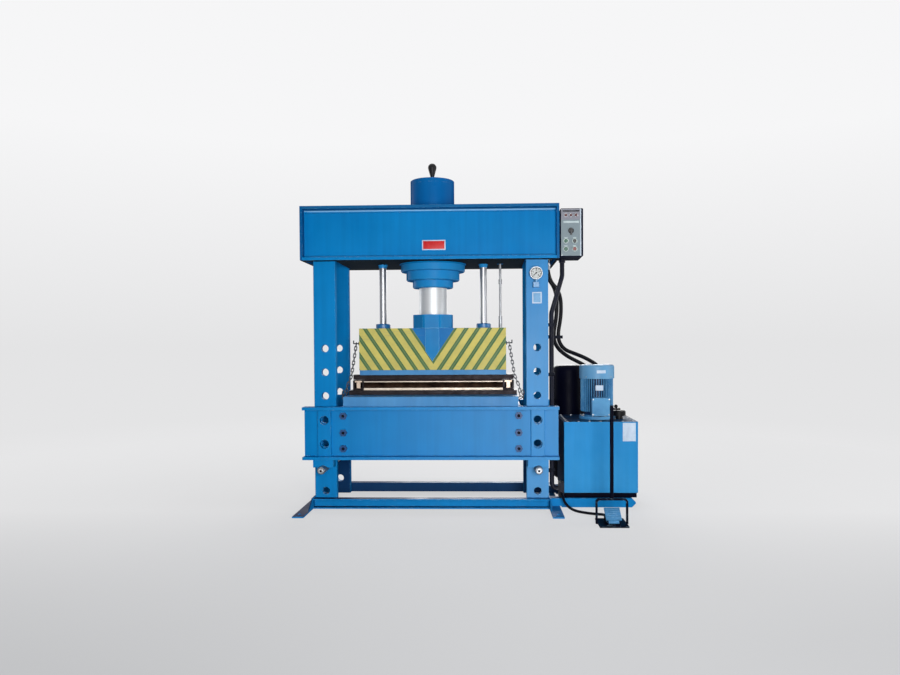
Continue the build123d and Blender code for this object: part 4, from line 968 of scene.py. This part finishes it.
def floor_look():
    """A pale floor that glows more towards the horizon, for seen rays only, with a painted pool of light near
    the press that darkens towards the front.
    """
    m = Mat("pale_floor")
    length = m.add("ShaderNodeVectorMath", operation="LENGTH")
    m.put(m.coord, length.inputs[0])
    away = length.outputs["Value"]
    tone = m.mix(m.span(m.noise(0.6, 3.0), 0.3, 0.7), rgb(218, 218, 219), rgb(223, 223, 224))
    eye = m.seen()
    m.done(m.mix(eye, rgb(120, 121, 123), tone), 0.75, gloss=0.2)
    glow = m.add("ShaderNodeEmission")
    # Painted pool of light: brighter round the press, darker towards the front.
    light_pool = m.mix(m.span(m.axis("Y"), -2.8, -0.4), rgb(192, 193, 195), rgb(232, 232, 233))
    m.put(m.mix(m.span(away, 3.0, 7.0), light_pool, HORIZON), glow.inputs["Color"])
    share = m.times(eye, m.span(away, 1.2, 5.0, FLOOR_GLOW, 1.0))
    both = m.mix_shaders(share, m.bsdf.outputs[0], glow.outputs[0])
    m.put(both, m.tree.nodes["Material Output"].inputs["Surface"])
    return m.mat


disc = bmesh.new()
bmesh.ops.create_circle(disc, cap_ends=True, segments=96, radius=FLOOR_REACH)
floor_data = bpy.data.meshes.new("floor")
disc.to_mesh(floor_data)
disc.free()
floor = bpy.data.objects.new("floor", floor_data)
floor.location = (0, 0, -FLOOR_DROP)
scene.collection.objects.link(floor)
floor_data.materials.append(floor_look())

world = bpy.data.worlds.new("studio")
world.use_nodes = True
scene.world = world
sky = Nodes(world.node_tree)
lit = sky.tree.nodes["Background"]
lit.inputs["Color"].default_value = (0.95, 0.97, 1.0, 1.0)
lit.inputs["Strength"].default_value = SKY_LIGHT
height = sky.add("ShaderNodeSeparateXYZ")
sky.put(sky.add("ShaderNodeTexCoord").outputs["Generated"], height.inputs[0])
backdrop = sky.add("ShaderNodeBackground")
fade = sky.mix(sky.span(height.outputs["Z"], 0.0, 0.26), HORIZON, rgb(246, 246, 247))
sky.put(fade, backdrop.inputs["Color"])
either = sky.mix_shaders(sky.seen(), lit.outputs[0], backdrop.outputs[0])
sky.put(either, sky.tree.nodes["World Output"].inputs["Surface"])


def softbox(name, place, aim, size, power):
    lamp = bpy.data.lights.new(name, "AREA")
    lamp.shape = "RECTANGLE"
    lamp.size, lamp.size_y = size
    lamp.energy = power
    made = bpy.data.objects.new(name, lamp)
    made.location = place
    made.rotation_euler = (Vector(aim) - Vector(place)).to_track_quat("-Z", "Y").to_euler()
    scene.collection.objects.link(made)


softbox("key", (1.2, -4.8, 1.05), (0.5, 0, 0.9), (0.9, 1.5), 125)
softbox("front", (0.3, -6.0, 1.1), (0.2, 0, 1.4), (2.6, 1.1), 145)
softbox("back", (0.6, 6.2, 2.6), (0.2, 0, 1.1), (3.2, 2.0), 240)
softbox("right", (6.2, -0.8, 1.6), (0.4, 0, 1.1), (2.4, 2.0), 120)
softbox("left", (-5.4, 4.2, 2.0), (0, 0, 1.1), (2.4, 2.0), 90)
softbox("top", (0.2, 0.4, 6.2), (0.2, 0, 1.0), (3.0, 2.4), 80)

# The camera as solved from the photo, in its pixels and in radians
PHOTO_WIDTH = 900.0
FOCAL = 726.0
SHIFT_RIGHT = -16.0
SHIFT_UP = 21.4
TURN = math.atan(24.0 / FOCAL)
TILT = math.radians(88.8)
ROLL = -0.0058
SENSOR = 36.0
lens = bpy.data.cameras.new("camera")
lens.sensor_width = SENSOR
lens.lens = FOCAL / PHOTO_WIDTH * SENSOR
lens.shift_x = SHIFT_RIGHT / PHOTO_WIDTH
lens.shift_y = SHIFT_UP / PHOTO_WIDTH
camera = bpy.data.objects.new("camera", lens)
camera.location = (0.408, -5.239, 1.125)
aim = Matrix.Rotation(TURN, 4, "Z") @ Matrix.Rotation(TILT, 4, "X") @ Matrix.Rotation(ROLL, 4, "Z")
camera.rotation_euler = aim.to_euler()
scene.collection.objects.link(camera)
scene.camera = camera
scene.view_settings.view_transform = "Standard"
